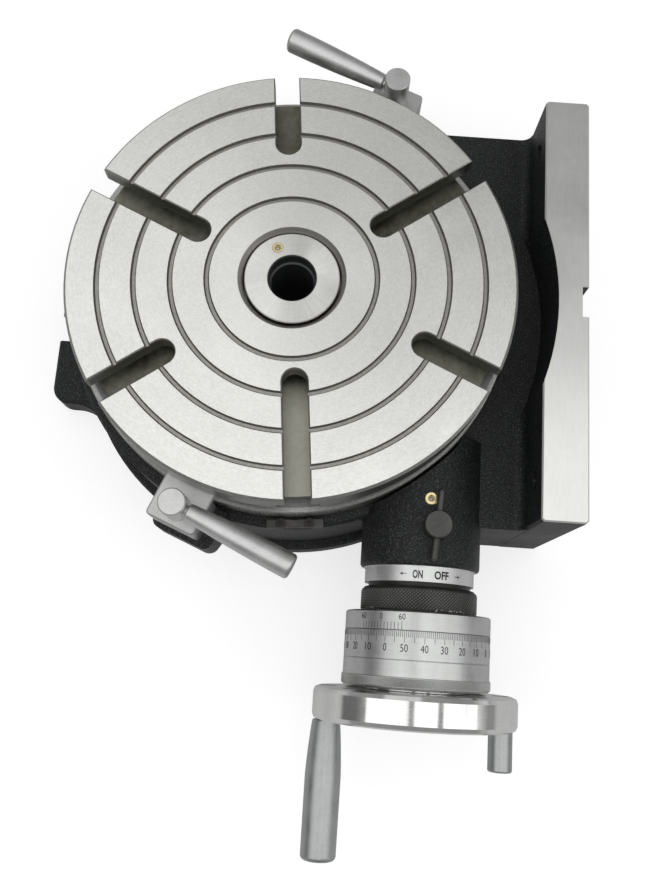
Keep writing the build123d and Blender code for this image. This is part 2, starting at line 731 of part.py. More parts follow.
def ring_screws():
    screws = []
    for turn in range(ring_screw_count):
        place = ring_screw_place(turn) * Pos(0, on_off_front + 0.3, 0) * Rot(-90, 0, 0)
        head = Cylinder(ring_screw_radius + 1.2, 2.9, align=BOTTOM)
        screws.append(place * (head + Cylinder(ring_screw_radius, on_off_width + 6, align=BOTTOM)))
    return screws


def knurled_ring():
    edge = knurl_radius - knurl_chamfer
    inner = nose_radius + fit
    return turned_along_y([
        (inner, knurl_front), (edge + 1, knurl_front), (knurl_radius, knurl_front + 0.6),
        (knurl_radius, collar_front - fit - knurl_chamfer), (edge, collar_front - fit), (inner, collar_front - fit)])


def vernier_ring():
    inner = nose_radius + fit
    return turned_along_y([
        (inner, vernier_front), (dial_radius - 0.2, vernier_front), (dial_radius, vernier_front + 0.2),
        (dial_radius, vernier_back - 0.8), (dial_radius - 0.8, vernier_back), (inner, vernier_back)])


def dial():
    """Graduated collar with a knurled rim, free to turn on the handwheel hub."""
    inner = hub_radius + running
    cup = dial_radius - dial_wall
    knurl = dial_radius + dial_knurl_height
    line = dial_back - 15.2
    web_back = dial_front + dial_web
    return turned_along_y([
        (inner, dial_front), (knurl - 1, dial_front), (knurl, dial_front + 1),
        (knurl, dial_front + dial_knurl_width), (dial_radius, dial_front + dial_knurl_width + 0.3),
        (dial_radius, line - 0.3), (dial_radius - 0.3, line), (dial_radius, line + 0.3),
        (dial_radius, dial_back - 0.2), (dial_radius - 0.2, dial_back), (cup, dial_back),
        (cup, web_back), (inner, web_back)])


def dial_clip():
    """Split ring that keeps the dial on the hub."""
    back = hub_back - 1.0
    ring = collar(hub_radius + 3, hub_radius - 1.2, back - 1.5, back)
    return ring - block(worm_x - 2, worm_x + 2, back - 3, back + 2, worm_z, worm_z + hub_radius + 5)


def handwheel():
    """Polished disc handwheel with a long hub that carries the dial."""
    web_back = hub_front + web_thickness
    bore = wheel_seat_shaft + fit
    clip = hub_back - 1.0
    body = turned_along_y([
        (bore, hub_front), (rim_inner_radius - 3, hub_front), (rim_inner_radius, wheel_front + 1),
        (rim_inner_radius + 1, wheel_front),
        (handwheel_radius - rim_round, wheel_front), (handwheel_radius - 0.9, wheel_front + 0.9),
        (handwheel_radius, wheel_front + rim_round),
        (handwheel_radius, wheel_back - rim_round), (handwheel_radius - 0.9, wheel_back - 0.9),
        (handwheel_radius - rim_round, wheel_back), (rim_inner_radius + 1, wheel_back),
        (rim_inner_radius, wheel_back - 1), (rim_inner_radius - 1.5, web_back),
        (hub_step_radius, web_back), (hub_step_radius, hub_step_back - 0.6), (hub_step_radius - 0.6, hub_step_back),
        (hub_radius, hub_step_back), (hub_radius, clip - 1.6), (hub_radius - 1.3, clip - 1.6),
        (hub_radius - 1.3, clip + 0.1), (hub_radius, clip + 0.1), (hub_radius, hub_back), (bore, hub_back)])
    for side in (-1, 1):
        body -= rod(handle_stud_radius + fit, wheel_front - 1, wheel_back + 1, worm_x + side * handle_circle)
    keyway = block(worm_x - key_width / 2 - fit, worm_x + key_width / 2 + fit,
                   hub_front - 1, hub_back + 1, worm_z, worm_z + wheel_seat_shaft + 2.2)
    return body - keyway


def handwheel_key():
    half = key_width / 2
    return block(worm_x - half, worm_x + half, hub_front + 2 + fit, hub_front + 2 + key_length - fit,
                 worm_z + wheel_seat_shaft - 3 + fit, worm_z + wheel_seat_shaft + 2)


def handwheel_washer():
    return collar(hub_radius - 5, wheel_bolt_radius + 0.3, hub_front - retaining_washer_width, hub_front)


def handwheel_bolt():
    seat = hub_front - retaining_washer_width
    head = rod(wheel_bolt_head_radius, seat - wheel_bolt_head_height, seat)
    head = chamfer(head.edges().sort_by(Axis.Y)[0], 0.5)
    socket = Pos(worm_x, seat - wheel_bolt_head_height - 1, worm_z) * Rot(-90, 0, 0) * extrude(
        RegularPolygon(2.9, 6), wheel_bolt_head_height / 2 + 1)
    return head - socket + rod(wheel_bolt_radius, seat - 0.5, shaft_front + wheel_bolt_length - 2)


def handle_spindle():
    """Shouldered screw that the long grip turns on."""
    x = worm_x - handle_circle
    end = wheel_front - handle_end_gap - grip_length
    stud = rod(handle_stud_radius, wheel_front, wheel_back - 1.5, x)
    shaft = rod(spindle_radius, end + 0.6, wheel_front, x)
    head = rod(spindle_head_radius, end + 0.6, end + 0.6 + spindle_head_height, x)
    slot = block(x - 10, x + 10, end, end + 1.8, worm_z - 0.7, worm_z + 0.7)
    return stud + shaft + head - slot


def handle_grip():
    """Long waisted grip, bored over its spindle."""
    back = wheel_front - handle_end_gap
    end = back - grip_length
    belly = back - grip_belly_at
    bore = spindle_radius + running + 0.05
    counterbore = end + 0.8 + spindle_head_height + 0.2
    head = spindle_head_radius + 0.25
    profile = make_face([
        Line((bore, back), (grip_root_radius - 0.6, back)),
        Line((grip_root_radius - 0.6, back), (grip_root_radius, back - 0.6)),
        ThreePointArc((grip_root_radius, back - 0.6),
                      (grip_root_radius + 0.62 * (grip_belly_radius - grip_root_radius), (back + belly) / 2),
                      (grip_belly_radius, belly)),
        Line((grip_belly_radius, belly), (grip_end_radius, end + grip_round)),
        ThreePointArc((grip_end_radius, end + grip_round), (grip_end_radius - 0.3 * grip_round, end + 0.3 * grip_round),
                      (grip_end_radius - grip_round, end)),
        Line((grip_end_radius - grip_round, end), (head, end)),
        Line((head, end), (head, counterbore)),
        Line((head, counterbore), (bore, counterbore)),
        Line((bore, counterbore), (bore, back))])
    return Pos(worm_x - handle_circle, 0, worm_z) * revolve(profile, Axis.Y)


def short_handle():
    x = worm_x + handle_circle
    end = wheel_front - short_handle_length
    peg = rod(short_handle_radius, end, wheel_front, x)
    peg = fillet(peg.edges().sort_by(Axis.Y)[0], 1.2)
    return peg + rod(handle_stud_radius, wheel_front, wheel_back - 1.5, x)


def lock_screw():
    """Screw with a dog point that locks the eccentric sleeve."""
    crest = housing_z + boss_radius
    head_low = crest + lock_head_gap
    head = cylinder(lock_head_radius, head_low, head_low + lock_head_height, lock_screw_x, lock_screw_y)
    head = chamfer(head.edges().sort_by(Axis.Z)[-1], 0.5)
    offset = lock_screw_x - housing_x
    dog_end = housing_z + sqrt((sleeve_radius - sleeve_groove_depth) ** 2
                               - max(offset - lock_dog_radius, 0) ** 2) + 0.3
    shank_end = housing_z + sleeve_radius + 0.6
    screw = head + cylinder(lock_shank_radius, shank_end, head_low, lock_screw_x, lock_screw_y)
    screw += cylinder(lock_dog_radius, dog_end, shank_end, lock_screw_x, lock_screw_y)
    return screw - lock_bar_place() * Cylinder(lock_bar_radius + fit, 4 * lock_head_radius)


def lock_bar_place():
    return Pos(lock_screw_x, lock_screw_y, lock_bar_z) * Rot(0, 0, lock_bar_angle) * Rot(0, 90, 0)


def lock_bar():
    bar = Cylinder(lock_bar_radius, lock_bar_length)
    return lock_bar_place() * chamfer(bar.edges().filter_by(GeomType.CIRCLE), 0.4)


oiler_top = housing_z + boss_radius + 0.4
body_oiler_place = Pos(housing_x, body_oiler_y, 0)
post_oiler_place = around(post_oiler_angle, post_oiler_circle)

parts = {
    "base_body": base_body(),
    "table_disc": table_disc(),
    "worm_wheel": worm_wheel(),
    "worm_wheel_screws": wheel_screws(),
    "centre_post": centre_post(),
    "post_nut": post_nut(),
    "post_oiler": post_oiler_place * oiler(post_oiler_radius, post_face),
    "post_oiler_ball": post_oiler_place * oiler_ball(post_face),
    "body_oiler": body_oiler_place * oiler(oiler_radius, oiler_top),
    "body_oiler_ball": body_oiler_place * oiler_ball(oiler_top),
    "index_plate": index_plate(),
    "index_plate_screws": index_screws(),
    "on_off_ring": on_off_ring(),
    "on_off_ring_screws": ring_screws(),
    "eccentric_sleeve": eccentric_sleeve(),
    "rear_bush": bush(rear_journal_radius, rear_bush_wall, tail_rear - rear_bush_length + fit, tail_rear),
    "front_bush": bush(shaft_radius, front_bush_wall, thrust_shoulder, thrust_shoulder + front_bush_length - fit),
    "thrust_washers": thrust_washers(),
    "bearing_nut": bearing_nut(),
    "knurled_ring": knurled_ring(),
    "vernier_ring": vernier_ring(),
    "worm_shaft": worm_shaft(),
    "dial": dial(),
    "dial_clip": dial_clip(),
    "handwheel": handwheel(),
    "handwheel_key": handwheel_key(),
    "handwheel_washer": handwheel_washer(),
    "handwheel_bolt": handwheel_bolt(),
    "handle_spindle": handle_spindle(),
    "handle_grip": handle_grip(),
    "short_handle": short_handle(),
    "lock_screw": lock_screw(),
    "lock_bar": lock_bar()}
for name, angle in (("front", clamp_angle), ("rear", rear_clamp_angle)):
    parts[name + "_clamp_strap"] = clamp_strap(angle)
    parts[name + "_clamp_stud"] = clamp_stud(angle)
    parts[name + "_clamp_hub"] = clamp_hub(angle)
    parts[name + "_clamp_lever"] = clamp_lever(angle)

os.makedirs("parts", exist_ok=True)
for node, shape in parts.items():
    solids = [solid for piece in (shape if isinstance(shape, list) else [shape]) for solid in piece.solids()]
    export_step(Compound(children=solids) if len(solids) > 1 else solids[0], f"parts/{node}.step")
print(len(parts), "nodes written")
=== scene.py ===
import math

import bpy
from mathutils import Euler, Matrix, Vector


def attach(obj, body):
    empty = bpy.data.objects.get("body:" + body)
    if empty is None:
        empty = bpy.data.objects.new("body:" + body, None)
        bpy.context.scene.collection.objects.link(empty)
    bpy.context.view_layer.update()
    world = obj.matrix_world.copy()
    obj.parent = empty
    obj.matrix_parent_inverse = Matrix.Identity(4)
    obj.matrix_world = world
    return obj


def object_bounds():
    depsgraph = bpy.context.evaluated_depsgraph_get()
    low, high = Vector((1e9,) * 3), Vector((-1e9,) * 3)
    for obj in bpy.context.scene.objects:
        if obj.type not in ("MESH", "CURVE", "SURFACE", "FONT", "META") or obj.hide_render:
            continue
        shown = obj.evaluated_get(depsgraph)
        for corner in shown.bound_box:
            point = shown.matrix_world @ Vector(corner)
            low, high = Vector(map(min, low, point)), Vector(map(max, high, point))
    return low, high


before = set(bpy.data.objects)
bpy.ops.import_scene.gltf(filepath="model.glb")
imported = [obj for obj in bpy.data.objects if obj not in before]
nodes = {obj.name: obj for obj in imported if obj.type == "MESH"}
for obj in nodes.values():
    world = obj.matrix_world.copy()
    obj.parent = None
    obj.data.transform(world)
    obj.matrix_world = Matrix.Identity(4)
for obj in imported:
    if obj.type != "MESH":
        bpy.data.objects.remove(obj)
cad_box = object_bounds()

# %% [markdown]
# A rotary table carries work on a milling machine. Its round table is ground steel, its base is a
# casting in black wrinkle enamel, and the worm that turns the table ends in a handwheel.
# The solids come from the CAD frame that is already loaded. This lesson gives them their finishes
# and adds what is too fine for solids: knurling, graduations and numbers.
# Everything is in metres, with the table's axis on Z and the handwheel on the -Y side.

scene = bpy.context.scene
print("pieces from the frame:", len(nodes))
print("size in mm:", [round(1000 * (b - a), 1) for a, b in zip(*cad_box)])

# %% [markdown]
# Sizes that the dressing shares with the solids are named once. The worm axis runs along Y, and the
# stations along it are the faces of the rings that carry marks.

# %% Sizes shared with the solids
MM = 0.001
worm_axis = Vector((83.4, 0, 66.5)) * MM
ring_axis = Vector((83.4, 0, 63.804)) * MM
table_top = 126.5 * MM
slot_floor = 106.5 * MM
post_face = 125.5 * MM
flange_radius = 126.5 * MM
flange_top = 97.5 * MM
ledge = 77.5 * MM
seat_top = 119.5 * MM
rest_turn = math.radians(5.6)
handle_reach = Vector((48.5, 0, 0)) * MM
boss_face = -149.9 * MM
knurl_edge = -173.9 * MM
print("worm axis at", [round(v / MM, 1) for v in worm_axis])

# %% [markdown]
# Building a shader by hand means many small maths nodes. A few helpers keep that short: one adds a
# maths node, one mixes two colours, one turns a value's range into a mask from 0 to 1, one adds a
# noise and one starts a group. A plain number goes onto a socket, and a socket is linked.

# %% Helpers for node trees
def feed(tree, socket, value):
    if isinstance(value, bpy.types.NodeSocket):
        tree.links.new(value, socket)
    else:
        socket.default_value = value


def calc(tree, operation, *values, clamp=False):
    node = tree.nodes.new("ShaderNodeMath")
    node.operation = operation
    node.use_clamp = clamp
    for socket, value in zip(node.inputs, values):
        feed(tree, socket, value)
    return node.outputs[0]


def length_across(tree, x, y):
    """The distance from Z, by its two shares."""
    return calc(tree, "SQRT", calc(tree, "ADD", calc(tree, "MULTIPLY", x, x), calc(tree, "MULTIPLY", y, y)))


def mix_colour(tree, factor, first, second):
    node = tree.nodes.new("ShaderNodeMix")
    node.data_type = "RGBA"
    feed(tree, node.inputs[0], factor)
    feed(tree, node.inputs[6], first if isinstance(first, bpy.types.NodeSocket) else (*first, 1))
    feed(tree, node.inputs[7], second if isinstance(second, bpy.types.NodeSocket) else (*second, 1))
    return node.outputs[2]


def ramp(tree, value, low, high, to_low=0.0, to_high=1.0):
    node = tree.nodes.new("ShaderNodeMapRange")
    node.clamp = True
    for socket, number in zip(node.inputs, (value, low, high, to_low, to_high)):
        feed(tree, socket, number)
    return node.outputs[0]


def noise(tree, vector, scale, detail=3.0, roughness=0.5, w=None):
    node = tree.nodes.new("ShaderNodeTexNoise")
    node.noise_dimensions = "3D" if w is None else "4D"
    feed(tree, node.inputs["Vector"], vector)
    feed(tree, node.inputs["Scale"], scale)
    feed(tree, node.inputs["Detail"], detail)
    feed(tree, node.inputs["Roughness"], roughness)
    if w is not None:
        feed(tree, node.inputs["W"], w)
    return node.outputs["Fac"]


def new_shader_group(name, inputs, outputs):
    group = bpy.data.node_groups.new(name, "ShaderNodeTree")
    for label, kind, default in inputs:
        socket = group.interface.new_socket(label, in_out="INPUT", socket_type=kind)
        if default is not None:
            socket.default_value = default
    for label, kind in outputs:
        group.interface.new_socket(label, in_out="OUTPUT", socket_type=kind)
    return group, group.nodes.new("NodeGroupInput"), group.nodes.new("NodeGroupOutput")


print("helpers ready")

# %% [markdown]
# Ground and turned steel shows the path of its tool: fine lines that run round the axis of the part.
# An image would blur up close, so the lines are noise that is stretched along the circle. The angle
# is given to the noise as a direction and the radius as its fourth number, so no seam shows where
# the angle starts again. The group is used by every round steel part, with its own fineness.

# %% Shader group: lines round an axis
def build_round_lay():
    group, enter, leave = new_shader_group(
        "Round lay",
        [("Vector", "NodeSocketVector", None), ("Rings", "NodeSocketFloat", 9000.0),
         ("Breaks", "NodeSocketFloat", 6.0), ("Along", "NodeSocketFloat", 9000.0)],
        [("Grain", "NodeSocketFloat")])
    parts = group.nodes.new("ShaderNodeSeparateXYZ")
    group.links.new(enter.outputs["Vector"], parts.inputs[0])
    x, y, z = parts.outputs
    radius = length_across(group, x, y)
    safe = calc(group, "MAXIMUM", radius, 1e-5)
    round_x = calc(group, "MULTIPLY", calc(group, "DIVIDE", x, safe), enter.outputs["Breaks"])
    round_y = calc(group, "MULTIPLY", calc(group, "DIVIDE", y, safe), enter.outputs["Breaks"])
    place = group.nodes.new("ShaderNodeCombineXYZ")
    group.links.new(round_x, place.inputs[0])
    group.links.new(round_y, place.inputs[1])
    group.links.new(calc(group, "MULTIPLY", z, enter.outputs["Along"]), place.inputs[2])
    ring = calc(group, "MULTIPLY", radius, enter.outputs["Rings"])
    grain = noise(group, place.outputs[0], 1.0, 4.0, 0.65, w=ring)
    group.links.new(grain, leave.inputs["Grain"])
    return group


round_lay = build_round_lay()
print("group:", round_lay.name, "with", len(round_lay.nodes), "nodes")

# %% [markdown]
# No handled metal is perfectly even. Oil and fingers leave clouds a few centimetres wide, and small
# stains within them. This group adds two noises and gives one soft value, which the materials use to
# vary their roughness and, a little, their colour.

# %% Shader group: handling clouds
def build_clouds():
    group, enter, leave = new_shader_group(
        "Handling clouds",
        [("Vector", "NodeSocketVector", None), ("Size", "NodeSocketFloat", 60.0)],
        [("Clouds", "NodeSocketFloat")])
    wide = noise(group, enter.outputs["Vector"], enter.outputs["Size"], 2.0, 0.5)
    smaller = calc(group, "MULTIPLY", enter.outputs["Size"], 9.0)
    fine = noise(group, enter.outputs["Vector"], smaller, 3.0, 0.6)
    both = calc(group, "ADD", calc(group, "MULTIPLY", wide, 0.65), calc(group, "MULTIPLY", fine, 0.35))
    group.links.new(ramp(group, both, 0.35, 0.65), leave.inputs["Clouds"])
    return group


clouds_group = build_clouds()
print("group:", clouds_group.name)


# %% Helpers that place the groups in a material
def start_material(name, colour, roughness, metallic):
    material = bpy.data.materials.new(name)
    material.use_nodes = True
    tree = material.node_tree
    shader = tree.nodes["Principled BSDF"]
    shader.inputs["Base Color"].default_value = (*colour, 1)
    shader.inputs["Roughness"].default_value = roughness
    shader.inputs["Metallic"].default_value = metallic
    coordinates = tree.nodes.new("ShaderNodeTexCoord")
    return material, tree, shader, coordinates.outputs["Object"]


def place_on_axis(tree, vector, axis):
    """Turns object coordinates so that Z runs along the part's own axis."""
    node = tree.nodes.new("ShaderNodeMapping")
    tree.links.new(vector, node.inputs["Vector"])
    if axis is not None:
        node.inputs["Rotation"].default_value = (math.pi / 2, 0, 0)
        node.inputs["Location"].default_value = (-axis.x, axis.z, 0)
    return node.outputs[0]


def use_group(tree, group, **values):
    node = tree.nodes.new("ShaderNodeGroup")
    node.node_tree = group
    for label, value in values.items():
        feed(tree, node.inputs[label], value)
    return node.outputs[0]


def bump(tree, height, distance, strength):
    node = tree.nodes.new("ShaderNodeBump")
    node.inputs["Strength"].default_value = strength
    node.inputs["Distance"].default_value = distance
    tree.links.new(height, node.inputs["Height"])
    return node.outputs[0]


def lay_tangent(tree, shader, place, amount):
    """Stretches the highlight across a lay that runs round Z."""
    shader.inputs["Anisotropic"].default_value = amount
    tangent = tree.nodes.new("ShaderNodeVectorMath")
    tangent.operation = "CROSS_PRODUCT"
    tangent.inputs[0].default_value = (0, 0, 1)
    tree.links.new(place, tangent.inputs[1])
    world = tree.nodes.new("ShaderNodeVectorTransform")
    world.vector_type, world.convert_from, world.convert_to = "VECTOR", "OBJECT", "WORLD"
    tree.links.new(tangent.outputs[0], world.inputs[0])
    tree.links.new(world.outputs[0], shader.inputs["Tangent"])


print("material helpers ready")

# %% [markdown]
# The casting has a wrinkle enamel: a thick black paint that dries into small grains about a
# millimetre wide. Cellular noise gives the grains and plain noise breaks up their rows, and light
# specks in the colour are painted highlights that stand in for the glints of the grains. The machined
# faces of the same casting are bare: the edge of the vertical seat, its outer face, the ring under
# the table, the face of the worm boss and the foot. They are found by their height and place, so one
# material dresses the whole casting and the border between paint and steel is sharp.

# %% Material: black wrinkle enamel with bare machined faces
def build_casting():
    material, tree, shader, place = start_material("black wrinkle enamel", (0.012, 0.012, 0.013), 0.42, 0.0)
    shader.inputs["Specular IOR Level"].default_value = 0.34
    cells = tree.nodes.new("ShaderNodeTexVoronoi")
    cells.feature = "SMOOTH_F1"
    tree.links.new(place, cells.inputs["Vector"])
    cells.inputs["Scale"].default_value = 1000.0
    cells.inputs["Smoothness"].default_value = 0.35
    grains = calc(tree, "SUBTRACT", 1.0, cells.outputs["Distance"])
    height = calc(tree, "ADD", calc(tree, "MULTIPLY", grains, 0.6),
                  calc(tree, "MULTIPLY", noise(tree, place, 1700.0, 3.0, 0.6), 0.7))
    parts = tree.nodes.new("ShaderNodeSeparateXYZ")
    tree.links.new(place, parts.inputs[0])
    x, y, z = parts.outputs
    radius = length_across(tree, x, y)
    edge = calc(tree, "GREATER_THAN", z, seat_top - 0.95 * MM)
    outer = calc(tree, "GREATER_THAN", x, 165.9 * MM)
    foot = calc(tree, "LESS_THAN", z, 0.1 * MM)
    way = calc(tree, "MULTIPLY", calc(tree, "GREATER_THAN", z, ledge + 0.1 * MM),
               calc(tree, "LESS_THAN", radius, 124.5 * MM))
    boss = calc(tree, "LESS_THAN", y, boss_face)
    bare = calc(tree, "ADD", foot, calc(tree, "ADD", way, boss))
    bare = calc(tree, "ADD", calc(tree, "ADD", edge, outer), bare, clamp=True)
    # painted highlight: light specks mixed into the enamel's colour stand in for the glints of its grains
    painted_glints = ramp(tree, noise(tree, place, 1150.0, 2.0, 0.55), 0.52, 0.67)
    clouds = use_group(tree, clouds_group, Vector=place, Size=22.0)
    paint = mix_colour(tree, clouds, (0.006, 0.0066, 0.0065), (0.012, 0.0135, 0.013))
    paint = mix_colour(tree, painted_glints, paint, (0.070, 0.077, 0.075))
    lines = tree.nodes.new("ShaderNodeMapping")
    tree.links.new(place, lines.inputs["Vector"])
    lines.inputs["Scale"].default_value = (2400, 90, 2400)
    grain = noise(tree, lines.outputs[0], 1.0, 3.0, 0.6)
    steel = mix_colour(tree, grain, (0.80, 0.805, 0.78), (1.0, 1.0, 0.97))
    tree.links.new(mix_colour(tree, bare, paint, steel), shader.inputs["Base Color"])
    tree.links.new(bare, shader.inputs["Metallic"])
    rough = calc(tree, "ADD", calc(tree, "MULTIPLY", bare, -0.08), ramp(tree, clouds, 0.0, 1.0, 0.36, 0.46))
    tree.links.new(rough, shader.inputs["Roughness"])
    shown = calc(tree, "ADD", calc(tree, "MULTIPLY", height, calc(tree, "SUBTRACT", 1.0, bare)),
                 calc(tree, "MULTIPLY", calc(tree, "MULTIPLY", grain, bare), 0.02))
    tree.links.new(bump(tree, shown, 0.45 * MM, 0.9), shader.inputs["Normal"])
    return material


casting = build_casting()
print("material:", casting.name)

# %% [markdown]
# The table's face is ground while it turns, so light spreads out from the centre. Cutting leaves the
# grooves and slot walls duller, and old oil darkens the floors of the slots to brown. As in the
# casting, height decides: above the face's edge is ground, below it is milled, and at the level of
# the slots' floor is oily. The shallow grooves get painted light, a lighter colour than the deep
# slots, and the floor of the slot beside the handwheel is lighter towards its open end.

# %% Material: ground table
def build_table_steel():
    material, tree, shader, place = start_material("ground table steel", (0.75, 0.75, 0.73), 0.34, 1.0)
    parts = tree.nodes.new("ShaderNodeSeparateXYZ")
    tree.links.new(place, parts.inputs[0])
    x, y, z = parts.outputs
    grain = use_group(tree, round_lay, Vector=place, Rings=1300.0, Breaks=70.0, Along=1300.0)
    grain = ramp(tree, grain, 0.30, 0.70)
    clouds = use_group(tree, clouds_group, Vector=place, Size=30.0)
    face = mix_colour(tree, grain, (0.78, 0.785, 0.745), (1.0, 1.0, 0.96))
    milled = mix_colour(tree, grain, (0.20, 0.20, 0.195), (0.34, 0.34, 0.33))
    oily = mix_colour(tree, clouds, (0.11, 0.108, 0.075), (0.30, 0.30, 0.25))
    on_face = calc(tree, "GREATER_THAN", z, table_top - 0.06 * MM)
    from_floor = calc(tree, "ABSOLUTE", calc(tree, "SUBTRACT", z, slot_floor))
    on_floor = calc(tree, "LESS_THAN", from_floor, 0.1 * MM)
    radius = length_across(tree, x, y)
    on_rim = calc(tree, "GREATER_THAN", radius, 123.4 * MM)
    rim = mix_colour(tree, grain, (0.36, 0.36, 0.34), (0.56, 0.56, 0.54))
    # painted highlight: the shallow grooves get a lighter colour than the deep slots for the light they catch
    shallow = calc(tree, "GREATER_THAN", z, table_top - 3.2 * MM)
    grooves = mix_colour(tree, grain, (0.29, 0.285, 0.265), (0.45, 0.44, 0.41))
    milled = mix_colour(tree, shallow, milled, grooves)
    # the floor of the slot beside the handwheel gets a lighter colour towards its open end
    lighter_open_end = mix_colour(tree, clouds, (0.36, 0.365, 0.30), (0.56, 0.56, 0.49))
    front = calc(tree, "MULTIPLY", ramp(tree, y, -46 * MM, -74 * MM), calc(tree, "GREATER_THAN", x, -40 * MM))
    oily = mix_colour(tree, front, oily, lighter_open_end)
    colour = mix_colour(tree, on_floor, mix_colour(tree, on_rim, milled, rim), oily)
    tree.links.new(mix_colour(tree, on_face, colour, face), shader.inputs["Base Color"])
    rough = calc(tree, "ADD", ramp(tree, clouds, 0.0, 1.0, 0.30, 0.40),
                 calc(tree, "MULTIPLY", calc(tree, "SUBTRACT", 1.0, on_face), 0.08))
    tree.links.new(rough, shader.inputs["Roughness"])
    lay_tangent(tree, shader, place, 0.55)
    tree.links.new(bump(tree, grain, 0.012 * MM, 0.6), shader.inputs["Normal"])
    return material


table_steel = build_table_steel()
print("material:", table_steel.name)

# %% [markdown]
# All the other metals are one recipe with different numbers: a colour pair that the lay mixes, a
# roughness pair that the clouds mix, and the axis that the lay runs round. A function keeps them
# alike, and each finish is then one line.

# %% Material recipe for turned, plated and blackened metal
def turned_metal(name, dark, light, smooth, rough, axis=None, rings=5000.0, breaks=5.0, along=5000.0,
                 cloud_size=70.0, relief=0.006, metallic=1.0, painted_reflection_bands=0.0, fans=0.0, painted_shade_bore_radius=None, chips=None,
                 points=None):
    material, tree, shader, place = start_material(name, light, rough, metallic)
    turned = place_on_axis(tree, place, axis)
    grain = use_group(tree, round_lay, Vector=turned, Rings=rings, Breaks=breaks, Along=along)
    clouds = use_group(tree, clouds_group, Vector=place, Size=cloud_size)
    amount = calc(tree, "ADD", calc(tree, "MULTIPLY", grain, 0.7), calc(tree, "MULTIPLY", clouds, 0.3))
    colour = mix_colour(tree, ramp(tree, amount, 0.3, 0.7), dark, light)
    # painted reflection: dark bands round the axis stand in for the mirrored gaps between the lamps
    if painted_reflection_bands:
        bands = use_group(tree, round_lay, Vector=turned, Rings=0.0, Breaks=4.2, Along=0.0)
        bands = calc(tree, "MULTIPLY", ramp(tree, bands, 0.42, 0.60), painted_reflection_bands)
        colour = mix_colour(tree, bands, colour, tuple(0.35 * v for v in dark))
    # painted shade: darker sectors round the axis paint the highlight fans, beside the real anisotropic lay
    if fans:
        painted_fan_rays = use_group(tree, round_lay, Vector=turned, Rings=0.0, Breaks=16.0, Along=0.0)
        colour = mix_colour(tree, calc(tree, "MULTIPLY", ramp(tree, painted_fan_rays, 0.36, 0.64), 0.35), colour,
                            tuple(0.8 * v for v in dark))
        lay_tangent(tree, shader, place, fans)
    # wear and painted highlight: knurl points are coloured lighter by their lift
    if points:
        lift = tree.nodes.new("ShaderNodeAttribute")
        lift.attribute_name = "lift"
        colour = mix_colour(tree, ramp(tree, lift.outputs["Fac"], 0.15, 1.0), colour, points)
    parts = tree.nodes.new("ShaderNodeSeparateXYZ")
    tree.links.new(place, parts.inputs[0])
    x, y, z = parts.outputs
    # painted shade: the deep bore is coloured near black and not metallic, standing in for the dark of the
    # hole
    if painted_shade_bore_radius:
        radius = length_across(tree, x, y)
        painted_bore_shade = calc(tree, "MULTIPLY", calc(tree, "LESS_THAN", radius, painted_shade_bore_radius), calc(
            tree, "LESS_THAN", z, post_face - 0.2 * MM))
        colour = mix_colour(tree, painted_bore_shade, colour, (0.035, 0.038, 0.037))
        feed(tree, shader.inputs["Metallic"], calc(tree, "SUBTRACT", metallic, painted_bore_shade))
    if chips:
        away = calc(tree, "ABSOLUTE", calc(tree, "SUBTRACT", y, chips))
        near = ramp(tree, away, 0.8 * MM, 2.2 * MM, 1.0, 0.0)
        worn = calc(tree, "MULTIPLY", noise(tree, place, 420.0, 2.0, 0.6), near)
        some = ramp(tree, noise(tree, place, 60.0, 0.0), 0.50, 0.56)
        chip = calc(tree, "MULTIPLY", ramp(tree, worn, 0.57, 0.61), some)
        colour = mix_colour(tree, chip, colour, (0.62, 0.61, 0.58))
    tree.links.new(colour, shader.inputs["Base Color"])
    tree.links.new(ramp(tree, clouds, 0.0, 1.0, smooth, rough), shader.inputs["Roughness"])
    tree.links.new(bump(tree, grain, relief * MM, 0.6), shader.inputs["Normal"])
    return material


# The post face gets painted shade in fan-shaped sectors beside its anisotropic lay.
post_steel = turned_metal(
    "ground post face", (0.82, 0.82, 0.79), (0.99, 0.99, 0.96), 0.28, 0.34, None,
    4200, 3.0, relief=0.002, fans=0.9, painted_shade_bore_radius=13.9 * MM)
# The dial and the handwheel carry painted reflection bands on top of their lay.
dial_chrome = turned_metal(
    "satin chrome dial", (0.56, 0.57, 0.56), (0.71, 0.72, 0.71), 0.30, 0.40, worm_axis,
    3500, 3.0, 3500, relief=0.004, painted_reflection_bands=0.12)
# The knurl points are coloured bright, partly as wear and partly as painted highlight.
dial_points = turned_metal(
    "chrome knurling", (0.44, 0.45, 0.44), (0.54, 0.55, 0.54), 0.30, 0.40, worm_axis,
    3500, 3.0, 3500, relief=0.004, points=(0.97, 0.98, 0.96))
ring_chrome = turned_metal(
    "satin chrome ring", (0.68, 0.69, 0.68), (0.84, 0.85, 0.84), 0.34, 0.42, ring_axis)
wheel_polish = turned_metal(
    "polished handwheel", (0.82, 0.82, 0.81), (0.96, 0.96, 0.95), 0.09, 0.15, worm_axis,
    4000, 2.2, 4000, relief=0.002, painted_reflection_bands=0.15)
grip_steel = turned_metal(
    "handled grip steel", (0.40, 0.41, 0.41), (0.54, 0.55, 0.55), 0.34, 0.46,
    worm_axis - handle_reach, 2600, 40.0, 1200, cloud_size=120)
peg_steel = turned_metal(
    "short handle steel", (0.37, 0.38, 0.38), (0.51, 0.52, 0.52), 0.30, 0.42,
    worm_axis + handle_reach, 2600, 40.0, 1200, cloud_size=120)
lever_nickel = turned_metal(
    "matt nickel lever", (0.59, 0.595, 0.585), (0.76, 0.765, 0.755), 0.36, 0.46, None,
    2500, 60.0, 2500, cloud_size=90)
